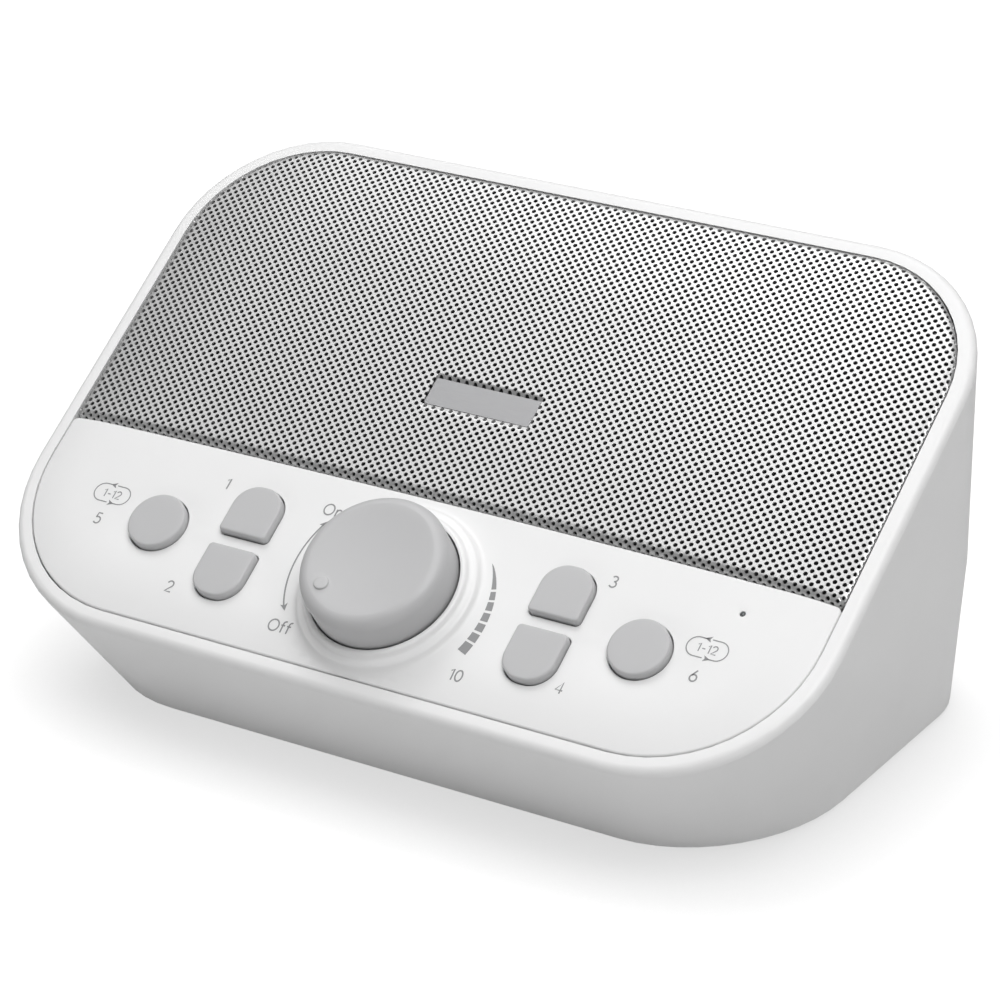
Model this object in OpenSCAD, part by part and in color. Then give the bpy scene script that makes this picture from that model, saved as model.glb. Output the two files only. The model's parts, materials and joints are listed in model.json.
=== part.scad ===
// White noise sound machine with a sloping face: a perforated speaker grille above a panel with a
// volume knob and six sound buttons. Millimetres, +Z up, +Y to the rear. The origin is under the
// middle of the whole object, on the surface that it stands on.

/* [Face] */
// Tilt of the face from level, in degrees
face_tilt = 35.2; // [32:0.1:38]
// Width of the opening that the grille and the panel fill
face_w = 150; // [146:1:156]
// Length of that opening up the slope
face_l = 99; // [96:1:103]
// Corner radius at the upper end of the face
face_r_top = 23.1; // [20:0.1:26]
// Corner radius at the lower end of the face
face_r_low = 26.2; // [24:0.1:28]
// Width of the rim round the face
rim_w = 2.9; // [2.6:0.1:4]
// Radius of the rim's outer edge
rim_round = 1.5; // [0.5:0.1:2]
// Height of the face's centre above the housing's lower edge
face_height = 50.7; // [48:0.1:54]
// Gentle crown of the control panel above the rim
crown = 0.85; // [0.4:0.05:1.1]
// Distance over which the crown runs out at the edges of the face
crown_run = 9; // [6:0.5:12]
// Length of the control panel up the slope, at its middle
panel_l = 34.9; // [34:0.1:37]
// Drop of that joint at each side, which makes it a shallow arch
split_arch = 0.7; // [0:0.1:1.2]

/* [Housing] */
// Wall of the housing
wall = 2.4; // [2:0.1:2.8]
// How far each side leans in from the rim to the lower edge
base_in = 9; // [7:0.1:12]
// Distance from the face's centre forward to the lower edge
base_front = 28.1; // [26:0.1:31]
// Distance from the face's centre back to the lower edge
base_rear = 57.5; // [55:0.1:60]
// Width-wise radius of the lower edge's front corners
base_r_side = 24.7; // [22:0.1:27]
// Depth-wise radius of the lower edge's front corners
base_r_front = 30.6; // [27:0.1:33]
// Radius of the lower edge's rear corners
base_r_rear = 19; // [16:0.5:22]
// How far each side leans in from the rim to the waist
waist_in = 3.4; // [2.5:0.1:5]
// Distance from the face's centre back to the waist
waist_rear = 51.4; // [49:0.1:53]
// Height of the waist above the housing's lower edge
waist_h = 30.7; // [28:0.1:33]
// Radius of the waist's rear corners
waist_r = 22; // [18:0.5:25]
// Depth of the pocket that takes the baffle, the panel and the grille
insert_depth = 4.2; // [4:0.1:4.6]
// Width of the ledge that the baffle is screwed to
ledge_w = 5; // [4.5:0.1:5.5]
// Thickness of that ledge
ledge_t = 2; // [1.6:0.1:2.6]
// Gap round the pieces that fill the pocket
seam_gap = 0.25; // [0.15:0.05:0.35]

/* [Base] */
// Thickness of the base plate
base_t = 2.2; // [1.8:0.1:2.6]
// Gap between the base plate and the housing
base_gap = 0.7; // [0.6:0.05:1]
// Diameter of a rubber foot
foot_d = 12; // [10:0.5:14]
// How far the feet stand out of the base
foot_proud = 0.8; // [0.6:0.1:1.5]
// Depth of the recess that a foot is glued into
foot_recess = 0.7; // [0.4:0.1:1]
// Distance of the feet's middle from the sides of the lower edge
foot_in = 20.9; // [19:0.1:24]
// Distance between the front and rear feet
foot_span_y = 52; // [46:1:56]
// Distance of the base screws from the sides of the lower edge
boss_in = 11.9; // [11:0.1:13]
// Distance between the front and rear base screws
boss_span_y = 46; // [40:1:50]
// Height of the bosses that take the base screws
boss_h = 13; // [11:0.5:16]

/* [Baffle and grille] */
// Thickness of the baffle
baffle_t = 2.3; // [2:0.1:2.5]
// Thickness of the grille's sheet
grille_t = 0.6; // [0.5:0.05:0.8]
// Radius of the grille's rolled edge
grille_roll = 1.3; // [1:0.1:1.6]
// Height of the grille's field above the control panel
grille_rise = 0.35; // [0.2:0.05:0.6]
// Diameter of a coarse perforation
perf_d = 2.2; // [1.4:0.1:2.6]
// Spacing of the perforations across the face
perf_x = 8.5; // [7.5:0.1:12]
// Spacing of the perforations up the slope
perf_u = 7.65; // [7:0.05:12]
// Thickness of the cloth behind the grille
cloth_t = 0.4; // [0.3:0.05:0.6]
// Width of the bare nameplate
plate_w = 20.5; // [16:0.1:26]
// Height of the nameplate
plate_h = 5.3; // [5:0.1:8]
// Thickness of the nameplate
plate_t = 0.4; // [0.3:0.1:0.5]
// Depth of the dish that the nameplate lies in
plate_dip = 0.6; // [0.5:0.1:0.8]
// Distance of the nameplate above the joint between grille and panel
plate_up = 20; // [17:0.1:24]
// Distance of the nameplate left of the middle
plate_left = 1.3; // [0:0.1:2]

/* [Control panel] */
// Thickness of the panel's skin
skin_t = 1.9; // [1.6:0.1:2.2]
// Width of the skirt round the panel's rear
skirt_w = 1.5; // [1.2:0.1:2]
// Gap round each button
button_gap = 0.3; // [0.25:0.05:0.4]
// Diameter of the light pipe's tip
light_d = 0.9; // [0.8:0.05:1.5]
// Distance of the light pipe from the side of the face opening
light_in = 15; // [14:0.1:17]
// Distance of the light pipe below the joint between grille and panel
light_down = 6.3; // [5.8:0.1:8]

/* [Volume knob] */
// Distance of the knob's axis above the lower end of the face
knob_up = 17.1; // [16.8:0.1:17.4]
// Diameter of the knob
knob_d = 25.5; // [24.6:0.1:25.9]
// Height of the knob's top above the rim
knob_top = 9.9; // [9.4:0.1:11]
// Radius of the knob's upper edge
knob_round = 2.1; // [1.6:0.1:2.6]
// Depth of the shallow dish in the knob's top
knob_dish = 0.7; // [0.4:0.1:0.8]
// Wall of the knob
knob_wall = 1.6; // [1.2:0.1:2.2]
// Diameter of the raised pip that marks the knob's position
pip_d = 2.5; // [2:0.1:2.8]
// Height of the pip
pip_rise = 0.35; // [0.25:0.05:0.45]
// Distance of the pip from the knob's axis
pip_r = 8.8; // [7:0.1:8.9]
// Direction of the pip at rest, in degrees from the right, anticlockwise
pip_angle = 226; // [180:1:300]
// Height of the raised collar round the knob, above the rim
collar_top = 3.3; // [3:0.1:3.8]
// Diameter of the collar where it meets the panel
collar_d = 31.6; // [31.2:0.1:31.8]
// Gap between the knob and the collar
knob_gap = 0.3; // [0.25:0.05:0.4]
// Diameter of the control's shaft
shaft_d = 6; // [5:0.1:6.4]
// Radial clearance of the shaft in its bushing
shaft_fit = 0.06; // [0.03:0.01:0.09]

/* [Buttons] */
// Height of the buttons above the crowned panel
button_rise = 1.4; // [1.3:0.1:2.2]
// How far a button can be pressed
button_travel = 0.6; // [0.4:0.05:0.7]
// Radius of a button's upper edge
button_round = 0.5; // [0.3:0.1:0.7]
// Diameter of the two round buttons
round_d = 10.4; // [9:0.1:10.6]
// Distance of the round buttons from the sides of the face opening
round_in = 28.25; // [27:0.05:28.6]
// Distance of the round buttons above the lower end of the face
round_up = 17.9; // [16.5:0.1:18.5]
// Width of the four arched buttons
arch_w = 9.3; // [8:0.1:9.6]
// Length of the arched buttons
arch_l = 9.6; // [8.5:0.1:10]
// Radius of the arched end's corners
arch_r = 4.2; // [2:0.1:4.4]
// Radius of the straight end's corners
arch_r_small = 0.8; // [0.4:0.1:1.2]
// Distance from a round button to the arched ones beside it
arch_in = 16.6; // [16.4:0.05:17.6]
// Distance of each pair's middle above the lower end of the face
arch_up = 18.0; // [17.1:0.1:18.2]
// Distance between the two buttons of a pair, centre to centre
arch_pitch = 12.2; // [11.5:0.1:13]
// Width of the lip that keeps a button in
lip_w = 0.8; // [0.6:0.1:0.9]

/* [Control board] */
// Distance from the rim down to the board's front
board_n = 9; // [8.8:0.1:10]
// Thickness of the circuit boards
board_t = 1.6; // [1.2:0.1:2]
// Width of a key switch
switch_w = 6; // [5.6:0.1:6.2]
// Height of a key switch's case
switch_h = 3.5; // [3.3:0.1:4]
// Diameter of a key switch's plunger
plunger_d = 3.4; // [3:0.1:3.8]
// Distance from a round button to the board's screws beside it
board_screw_in = 8.55; // [8.4:0.05:8.7]
// Diameter of the panel's bosses for the board
board_boss_d = 4.4; // [4:0.1:4.6]

/* [Speaker] */
// Distance of the speaker's edge above the joint between grille and panel
speaker_up = 0.6; // [0.3:0.1:1.5]
// Distance of the speaker's edge below the upper end of the face opening
speaker_down = 6.5; // [6:0.1:8]
// How far the flange's corners are cut back from a square round the speaker
flange_in = 5; // [4:0.5:6]
// Distance of the flange's screws from that square
flange_hole_in = 5.5; // [5.2:0.1:5.8]
// Diameter of the speaker's magnet
magnet_d = 31; // [28:0.5:33]
// Depth from the flange to the magnet's front plate
basket_depth = 14.2; // [13.5:0.1:15]

/* [Rear] */
// Length of the posts that carry the main board
post_h = 9; // [8.5:0.1:10]
// Distance of the power inlet and the audio socket from the middle
jack_x = 9; // [8:0.1:12]
// Height of both along the rear wall
jack_v = 15; // [13:0.1:17]
// Bore of the power inlet
inlet_bore = 5.5; // [5:0.1:6]
// Diameter of the power inlet's pin
inlet_pin = 2.1; // [1.7:0.1:2.5]
// Bore of the audio socket
audio_bore = 3.6; // [3.5:0.05:3.8]
// Depth of both bores
jack_depth = 9; // [8:0.1:9.3]

/* [Hidden] */

$fn = 64;
arc_steps = 12;
eps = 0.01;

white = [0.93, 0.93, 0.93];
grey = [0.74, 0.74, 0.75];
dark = [0.12, 0.12, 0.13];
steel = [0.75, 0.75, 0.76];
board_green = [0.10, 0.35, 0.22];
brass = [0.80, 0.65, 0.30];

// Places and sizes that follow from the face
base_w = face_w + 2 * (rim_w - base_in);
waist_w = face_w + 2 * (rim_w - waist_in);
foot_span_x = base_w - 2 * foot_in;
boss_span_x = base_w - 2 * boss_in;
split_u = face_l / 2 - panel_l;
plate_u = plate_up - split_u;
knob_u = face_l / 2 - knob_up;
round_u = face_l / 2 - round_up;
arch_u = face_l / 2 - arch_up;
light_u = split_u + light_down;
light_x = face_w / 2 - light_in;
round_x = face_w / 2 - round_in;
arch_x = round_x - arch_in;
board_screw_x = round_x - board_screw_in;

// The face's centre, with the whole object centred fore and aft over the origin
rim_reach = cos(face_tilt) * (face_l / 2 + rim_w - rim_round) - sin(face_tilt) * rim_round + rim_round;
knob_reach = cos(face_tilt) * (knob_u + knob_d / 2 - knob_round) + sin(face_tilt) * (knob_top - knob_round) + knob_round;
y_face = (max(rim_reach, knob_reach) - base_rear) / 2;
z_low = foot_proud;
z_face = z_low + face_height;

// The rear wall below the waist, which leans forward as it rises
y_rear = y_face + base_rear;
rear_lean = atan((base_rear - waist_rear) / waist_h);

// Levels behind the rim, along the face's normal
n_seat = baffle_t - insert_depth;
n_skin = crown - skin_t;
speaker_d = face_l / 2 + split_u - speaker_up - speaker_down;
speaker_u = speaker_up - split_u + speaker_d / 2;
flange_w = speaker_d - flange_in;
flange_hole = speaker_d / 2 - flange_hole_in;
n_board = -board_n;
n_switch = n_board + switch_h;

// Where base plate, bosses and feet meet
z_plate_top = z_low + base_t;
y_base_mid = y_face + (base_rear - base_front) / 2 + 1;

// Outlines. Each is a list of points, anticlockwise from the upper right corner
function arc(cx, cy, rx, ry, from) =
    [for (i = [0:arc_steps]) [cx + rx * cos(from + 90 * i / arc_steps), cy + ry * sin(from + 90 * i / arc_steps)]];
function round_rect(half_w, low, high, r_high, r_low_x, r_low_y) = concat(
    arc(half_w - r_high, high - r_high, r_high, r_high, 0),
    arc(-half_w + r_high, high - r_high, r_high, r_high, 90),
    arc(-half_w + r_low_x, low + r_low_y, r_low_x, r_low_y, 180),
    arc(half_w - r_low_x, low + r_low_y, r_low_x, r_low_y, 270));
function face_outline(grow) = round_rect(
    face_w / 2 + grow, -face_l / 2 - grow, face_l / 2 + grow, face_r_top + grow, face_r_low + grow, face_r_low + grow);
function base_outline(inset) = round_rect(
    base_w / 2 - inset, y_face - base_front + inset, y_rear - inset,
    base_r_rear - inset, base_r_side - inset, base_r_front - inset);
function waist_outline(inset) = round_rect(
    waist_w / 2 - inset, y_face - wall, y_face + waist_rear - inset, waist_r - inset, wall, wall);

// The shallow arch between the grille and the panel
function split(x) = -split_u - split_arch * pow(2 * x / face_w, 2);
function split_line(half_w, shift) = [for (i = [0:24]) [half_w * (i / 12 - 1), split(half_w * (i / 12 - 1)) + shift]];
function grille_outline(inset, low) = concat(
    split_line(face_w / 2 - inset, low),
    arc(face_w / 2 - face_r_top, face_l / 2 - face_r_top, face_r_top - inset, face_r_top - inset, 0),
    arc(face_r_top - face_w / 2, face_l / 2 - face_r_top, face_r_top - inset, face_r_top - inset, 90));

// The lower part of the face, below the arch
module below_split(shift) {
    half = face_w / 2 + 1;
    polygon(concat([[-half, -face_l], [half, -face_l]], [for (p = split_line(half, 0)) [-p[0], p[1] - shift]]));
}

// Places things on the face: across, up the slope and out of it
module on_face(x = 0, u = 0, n = 0) {
    translate([0, y_face, z_face]) rotate([face_tilt, 0, 0]) translate([x, u, n]) children();
}

// Places things on the rear wall: to the right seen from behind, up the wall and out of it
module on_rear(x = 0, v = 0, d = 0) {
    translate([0, y_rear, z_low]) rotate([90 - rear_lean, 0, 180]) translate([x, v, d]) children();
}

module slab(points, low, high) {
    translate([0, 0, low]) linear_extrude(height = high - low) polygon(points);
}

module rod(d, low, high) {
    translate([0, 0, low]) cylinder(d = d, h = high - low);
}

module ring(d, bore, low, high) {
    difference() {
        rod(d, low, high);
        rod(bore, low - eps, high + eps);
    }
}

// A pan-head screw whose head starts at 0 and whose shank points up
slot_w = 0.5;
module screw(head_d, head_h, shank_d, shank_l) {
    difference() {
        rod(head_d, -head_h, 0);
        for (a = [0, 90]) rotate(a) translate([-head_d / 3, -slot_w / 2, -head_h - eps])
            cube([head_d / 1.5, slot_w, head_h / 2]);
    }
    rod(shank_d, 0, shank_l);
}

module at_four(span_x, span_y) {
    for (sx = [-1, 1], sy = [-1, 1]) translate([sx * span_x / 2, sy * span_y / 2, 0]) children();
}

// ---------------------------------------------------------------- housing and base

// Screws that hold the baffle to the ledge, and the round pads that take them
baffle_screw_d = 2;
baffle_head_d = 3.8;
baffle_head_h = 1.4;
pad_d = 5.6;
pad_in = ledge_w - 0.6;
pad_high = 12;
pad_low = 8;
baffle_screw_places = [
    for (s = [-1, 1]) each [
        [s * (face_w / 2 - pad_in), pad_high], [s * (face_w / 2 - pad_in), -pad_low],
        [s * (speaker_d / 2 + pad_d / 2 + 0.5), face_l / 2 - pad_in - 0.8]]];

module shell_outer() {
    hull() {
        on_face() for (a = [0:15:90])
            slab(face_outline(rim_w - rim_round * (1 - sin(a))), -rim_round * (1 - cos(a)) - eps,
                -rim_round * (1 - cos(a)));
        slab(waist_outline(0), z_low + waist_h - eps, z_low + waist_h);
        slab(base_outline(0), z_low, z_low + eps);
    }
}

module shell_inner() {
    // The cavity starts a little inside the pocket, so that the leaning rear wall keeps its thickness
    hull() {
        on_face() slab(face_outline(-wall / 3), -insert_depth - eps, -insert_depth);
        slab(waist_outline(wall), z_low + waist_h - eps, z_low + waist_h);
        slab(base_outline(wall), z_low - 1, z_low - 1 + eps);
    }
}

// A boss for a base screw, with a rib to the side wall
boss_d = 7;
rib_t = 2.4;
boss_pilot_d = 2.4;
module base_boss() {
    wall_x = (base_w - boss_span_x) / 2 - wall + 0.2;
    lean = (waist_w - base_w) / 2 / waist_h;
    rod(boss_d, z_plate_top, z_plate_top + boss_h);
    translate([0, rib_t / 2, 0]) rotate([90, 0, 0]) linear_extrude(height = rib_t)
        polygon([[0, z_plate_top], [wall_x + lean * base_t, z_plate_top],
            [wall_x + lean * (base_t + boss_h), z_plate_top + boss_h], [0, z_plate_top + boss_h]]);
}

module at_base_bosses() {
    translate([0, y_base_mid, 0]) for (s = [-1, 1], sy = [-1, 1])
        translate([s * boss_span_x / 2, sy * boss_span_y / 2, 0]) mirror([s < 0 ? 1 : 0, 0, 0]) children();
}

// Main board and what carries it, on the rear wall
board_v = 18.5;
post_d = 6;
post_span_x = 84;
post_span_v = 18;
board_w = post_span_x + post_d + 2;
board_l = post_span_v + post_d + 1;
n_post = -wall - post_h;
inlet_nose_d = 8;
inlet_w = 9;
audio_nose_d = 6;
audio_w = 7.4;
nose_gap = 0.3;

module housing() {
    color(white) difference() {
        union() {
            difference() {
                shell_outer();
                shell_inner();
            }
            on_face() difference() {
                slab(face_outline(-wall / 6), -insert_depth - ledge_t, -insert_depth);
                slab(face_outline(-ledge_w), -insert_depth - ledge_t - eps, -insert_depth + eps);
            }
            for (p = baffle_screw_places) on_face(p[0], p[1]) rod(pad_d, -insert_depth - ledge_t, -insert_depth);
            at_base_bosses() base_boss();
            on_rear(0, board_v) at_four(post_span_x, post_span_v) rod(post_d, n_post, -wall / 2);
        }
        on_face() slab(face_outline(0), -insert_depth, 1);
        for (p = baffle_screw_places) on_face(p[0], p[1]) rod(baffle_screw_d + 0.4, -insert_depth - ledge_t - 1, 0);
        at_base_bosses() rod(boss_pilot_d, z_plate_top - eps, z_plate_top + boss_h - 2);
        on_rear(0, board_v) at_four(post_span_x, post_span_v) rod(board_screw_d - 0.2, n_post - eps, -wall - 1);
        on_rear(-jack_x, jack_v) rod(inlet_nose_d + 2 * nose_gap, -wall - 2, 2);
        on_rear(jack_x, jack_v) rod(audio_nose_d + 2 * nose_gap, -wall - 2, 2);
    }
}

base_screw_d = 2.6;
base_head_d = 5.4;
base_head_h = 1.3;
module base_plate() {
    color(white) difference() {
        slab(base_outline(wall + base_gap), z_low, z_plate_top);
        at_base_bosses() rod(base_screw_d + 0.6, 0, z_plate_top + 1);
        at_base_bosses() rod(base_head_d + 0.8, 0, z_low + base_head_h + 0.1);
        translate([0, y_base_mid, 0]) at_four(foot_span_x, foot_span_y) rod(foot_d + 0.4, 0, z_low + foot_recess);
    }
}

module rubber_feet() {
    color(dark) translate([0, y_base_mid, 0]) at_four(foot_span_x, foot_span_y) {
        rod(foot_d, foot_proud / 2, z_low + foot_recess);
        cylinder(d1 = foot_d - foot_proud, d2 = foot_d, h = foot_proud / 2);
    }
}

module base_screws() {
    color(steel) at_base_bosses() translate([0, 0, z_low + base_head_h + 0.1])
        screw(base_head_d, base_head_h, base_screw_d - 0.3, base_t - base_head_h + boss_h - 4);
}

// ---------------------------------------------------------------- baffle, panel, grille

// The window that the buttons and the control board look through
function window_outline(grow) = [
    [face_w / 2 - 9 + grow, -split_u - 3.7 + grow], [9 - face_w / 2 - grow, -split_u - 3.7 + grow],
    [9 - face_w / 2 - grow, -round_u + 4 - grow / 2], [23 - face_w / 2 - grow / 2, 4 - face_l / 2 - grow],
    [face_w / 2 - 23 + grow / 2, 4 - face_l / 2 - grow], [face_w / 2 - 9 + grow, -round_u + 4 - grow / 2]];

// Pins on the panel's skirt that are staked into the baffle
stake_d = 1.7;
stake_in = 4.5;
stake_places = [
    for (s = [-1, 1]) each [[s * arch_x, stake_in / 2 - face_l / 2], [s * (face_w / 2 - stake_in), -light_u]]];

speaker_hole_d = speaker_d - 5.4;
speaker_screw_d = 2.2;

module front_baffle() {
    color(dark) on_face() difference() {
        slab(face_outline(-seam_gap), -insert_depth, n_seat);
        slab(window_outline(0), -insert_depth - 1, 0);
        translate([0, speaker_u, 0]) rod(speaker_hole_d, -insert_depth - 1, 0);
        translate([0, speaker_u, 0]) at_four(2 * flange_hole, 2 * flange_hole)
            rod(speaker_screw_d - 0.4, -insert_depth - 1, n_seat - 0.4);
        for (p = baffle_screw_places) translate(p) rod(baffle_screw_d - 0.3, -insert_depth - 1, n_seat - 0.4);
        for (p = stake_places) translate(p) rod(stake_d + 0.2, -insert_depth - 1, 0);
    }
}

module baffle_screws() {
    color(steel) for (p = baffle_screw_places) on_face(p[0], p[1], -insert_depth - ledge_t)
        screw(baffle_head_d, baffle_head_h, baffle_screw_d - 0.4, ledge_t + baffle_t - 0.7);
}

// The collar round the knob: two soft steps that rise from the panel
module collar() {
    r = collar_d / 2;
    well = knob_d / 2 + knob_gap;
    step = (collar_top - crown) / 2;
    rotate_extrude() polygon(concat(
        [[well - 3, n_skin], [r + 0.6, n_skin + 0.5], [r + 0.6, crown - 0.05]],
        [for (a = [0:15:75]) [r + 0.6 - 0.6 * sin(a), crown + 0.6 * (1 - cos(a))]],
        [for (a = [0:22.5:90]) [r - 0.15 - 0.4 * (1 - cos(a)), crown + step - 0.35 + 0.4 * sin(a)]],
        [[r - 1.55, crown + step + 0.12]],
        [for (a = [0:22.5:90]) [r - 1.75 - 0.45 * (1 - cos(a)), collar_top - 0.45 + 0.45 * sin(a)]],
        [[well - 3, collar_top]]));
}

module arch_shape(grow) {
    polygon(round_rect(arch_w / 2 + grow, -arch_l / 2 - grow, arch_l / 2 + grow,
        arch_r + grow, arch_r_small + grow, arch_r_small + grow));
}

// Centres of the six buttons, and whether each is round, arched upward or arched downward
upper_u = arch_pitch / 2 - arch_u;
lower_u = -arch_pitch / 2 - arch_u;
button_places = [
    [-round_x, -round_u, 0], [-arch_x, upper_u, 1], [-arch_x, lower_u, -1],
    [arch_x, upper_u, 1], [arch_x, lower_u, -1], [round_x, -round_u, 0]];

module button_shape(kind, grow) {
    if (kind == 0) circle(d = round_d + 2 * grow);
    else if (kind > 0) arch_shape(grow);
    else mirror([0, 1]) arch_shape(grow);
}

light_step_d = light_d + 1.8;
control_screw_places = [for (sx = [-1, 1], u = [upper_u + 3.7, lower_u - 4.1]) [sx * board_screw_x, u]];

module control_panel() {
    color(white) on_face() difference() {
        union() {
            difference() {
                intersection() {
                    hull() {
                        slab(face_outline(-seam_gap), n_seat, -0.3);
                        slab(face_outline(-seam_gap - 0.25), -0.3, 0);
                        slab(face_outline(-crown_run), 0, crown);
                    }
                    translate([0, 0, n_seat]) linear_extrude(height = 4) below_split(0);
                }
                translate([0, 0, n_seat - eps]) linear_extrude(height = n_skin - n_seat + eps) intersection() {
                    polygon(face_outline(-seam_gap - skirt_w));
                    below_split(skirt_w);
                }
            }
            translate([0, -knob_u, 0]) collar();
            for (p = control_screw_places) translate(p) rod(board_boss_d, n_board, n_skin + eps);
            for (p = stake_places) translate(p) rod(stake_d, 0.1 - insert_depth, n_skin + eps);
        }
        translate([0, -knob_u, 0]) {
            rod(knob_d + 2 * knob_gap, crown - 0.05, collar_top + 1);
            rod(bushing_d + 0.8, n_skin - 1, collar_top);
        }
        for (b = button_places) translate([b[0], b[1], n_skin - 1]) linear_extrude(height = skin_t + 2)
            button_shape(b[2], button_gap);
        translate([light_x, -light_u, 0]) rod(light_d + 0.1, n_skin - 1, crown + 1);
        for (p = control_screw_places) translate(p) rod(board_screw_d - 0.3, n_board - eps, n_skin - 1);
    }
}

// The grille is a shallow pan of thin sheet. Level 0 is its foot on the baffle
n_field = crown + grille_rise;
module grille_form(inset) {
    difference() {
        hull() {
            slab(grille_outline(seam_gap + inset, seam_gap + inset), n_seat, n_field - crown - grille_roll - inset);
            for (a = [0:22.5:90]) {
                edge = seam_gap + inset + (grille_roll - inset) * (1 - cos(a));
                up = n_field - grille_roll + (grille_roll - inset) * sin(a);
                slab(grille_outline(edge, edge), up - crown - eps, up - crown);
                slab(grille_outline(crown_run, edge), up - eps, up);
            }
        }
        translate([0, 0, n_seat - 1]) linear_extrude(height = n_field - n_seat + 2) below_split(-seam_gap - inset);
    }
}

// The dish pressed into the grille for the nameplate. Its lower side slopes more gently
dish_high = 0.45;
dish_low = 0.9;
n_dish = n_field - plate_dip;
function plate_outline(grow, low) =
    round_rect(plate_w / 2 + grow, -plate_h / 2 - low, plate_h / 2 + grow, 0.4, 0.4, 0.4);

// Staggered rows of perforations over the flat field
perf_cols = floor((face_w / 2 - crown_run - perf_d) / perf_x);
perf_low = split(0) + crown_run + perf_d;
perf_rows = floor((face_l / 2 - crown_run - perf_d - perf_low) / perf_u);
function in_field(x, u) = let (c = face_w / 2 - face_r_top, v = face_l / 2 - face_r_top, r = face_r_top - perf_d)
    norm([max(0, abs(x) - c), max(0, u - v)]) < r - crown_run / 2;
function off_plate(x, u) = abs(x + plate_left) > plate_w / 2 + perf_d
    || abs(u - plate_u) > plate_h / 2 + perf_d + dish_low / 2;
perf_places = [
    for (j = [0:perf_rows], i = [-perf_cols:perf_cols], h = [0, 1])
        let (x = (i + h / 2) * perf_x, u = perf_low + (j + h / 2) * perf_u)
            if (abs(x) < face_w / 2 - crown_run - perf_d && u < face_l / 2 - crown_run - perf_d
                && in_field(x, u) && off_plate(x, u)) [x, u]];

module grille() {
    color(steel) on_face() difference() {
        union() {
            difference() {
                grille_form(0);
                translate([0, 0, -eps]) grille_form(grille_t);
                for (p = perf_places) translate(p) rod(perf_d, n_field - grille_t - 1, n_field + 1);
            }
            translate([-plate_left, plate_u, 0])
                slab(plate_outline(dish_high + 0.5, dish_low + 0.5), n_dish - grille_t, n_field - eps);
        }
        translate([-plate_left, plate_u, 0]) hull() {
            slab(plate_outline(0.1, 0.1), n_dish, n_dish + plate_t / 2);
            slab(plate_outline(dish_high, dish_low), n_field - eps, n_field + eps);
        }
    }
}

module grille_cloth() {
    edge = seam_gap + grille_t + 1;
    color(dark) on_face() slab(grille_outline(edge, edge), n_seat, n_seat + cloth_t);
}

module nameplate() {
    color(grey) on_face(-plate_left, plate_u, n_dish) slab(plate_outline(0, 0), 0, plate_t);
}

// ---------------------------------------------------------------- speaker

gasket_t = 1;
surround_t = 0.6;
flange_t = 1.2;
n_flange = -insert_depth - gasket_t - surround_t;
n_plate = n_flange - basket_depth;
cone_d = speaker_hole_d - 10.4;
coil_d = 10.2;
coil_t = 0.3;
pole_d = 9.1;
plate_hole_d = 10.9;
front_plate_t = 3;
magnet_t = 5;
yoke_t = 2.5;
neck_depth = 9.6;
n_neck = n_flange - neck_depth;
coil_reach = 2.2;
speaker_head_d = 4.2;
speaker_head_h = 1.5;
spider_up = 1.2;
spider_t = 0.6;

module on_speaker() {
    on_face(0, speaker_u) children();
}

module speaker_gasket() {
    color(dark) on_speaker() ring(speaker_d - 1, speaker_hole_d - 0.6, -insert_depth - gasket_t, -insert_depth);
}

module speaker_basket() {
    inner = speaker_hole_d / 2;
    color(dark) on_speaker() difference() {
        union() {
            translate([0, 0, n_flange - flange_t]) linear_extrude(height = flange_t) {
                circle(d = speaker_d);
                intersection() {
                    square(flange_w, center = true);
                    circle(r = flange_hole * sqrt(2) + 2.2);
                }
            }
            rotate_extrude() polygon([
                [inner + 1.2, n_flange], [inner + 1.2, n_flange - flange_t], [magnet_d / 2 + 0.5, n_plate + spider_up],
                [magnet_d / 2 - 0.5, n_plate], [plate_hole_d / 2 + 2, n_plate],
                [plate_hole_d / 2 + 2, n_plate + spider_up], [magnet_d / 2 - 1, n_plate + spider_up],
                [inner, n_flange]]);
        }
        rod(speaker_hole_d - 0.4, n_flange - flange_t, n_flange + 1);
        for (a = [22.5:45:360]) rotate(a) translate([magnet_d / 2 + 1.5, -4.5, n_plate + 2.4])
            cube([speaker_d / 2 - magnet_d / 2 - 6, 9, basket_depth - flange_t - 5.5]);
        at_four(2 * flange_hole, 2 * flange_hole) rod(speaker_screw_d + 0.6, n_flange - 3, n_flange + 1);
    }
}

module speaker_surround() {
    roll_r = (speaker_hole_d - 0.8 - cone_d) / 4;
    mid = cone_d / 2 + roll_r;
    color(dark) on_speaker() rotate_extrude() {
        translate([mid + roll_r - surround_t, n_flange])
            square([(speaker_d - 1) / 2 - mid - roll_r + surround_t, surround_t]);
        translate([mid, n_flange]) intersection() {
            difference() {
                circle(r = roll_r);
                circle(r = roll_r - surround_t);
            }
            translate([-roll_r, 0]) square([2 * roll_r, roll_r]);
        }
    }
}

module speaker_cone() {
    neck = coil_d / 2 + coil_t;
    color(dark) on_speaker() rotate_extrude() polygon([
        [cone_d / 2 + surround_t, n_flange], [cone_d / 2 + surround_t, n_flange - 0.6],
        [cone_d / 2 - 0.4, n_flange - 0.9], [neck, n_neck - 0.6], [neck, n_neck], [cone_d / 2 - 0.6, n_flange]]);
}

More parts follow.
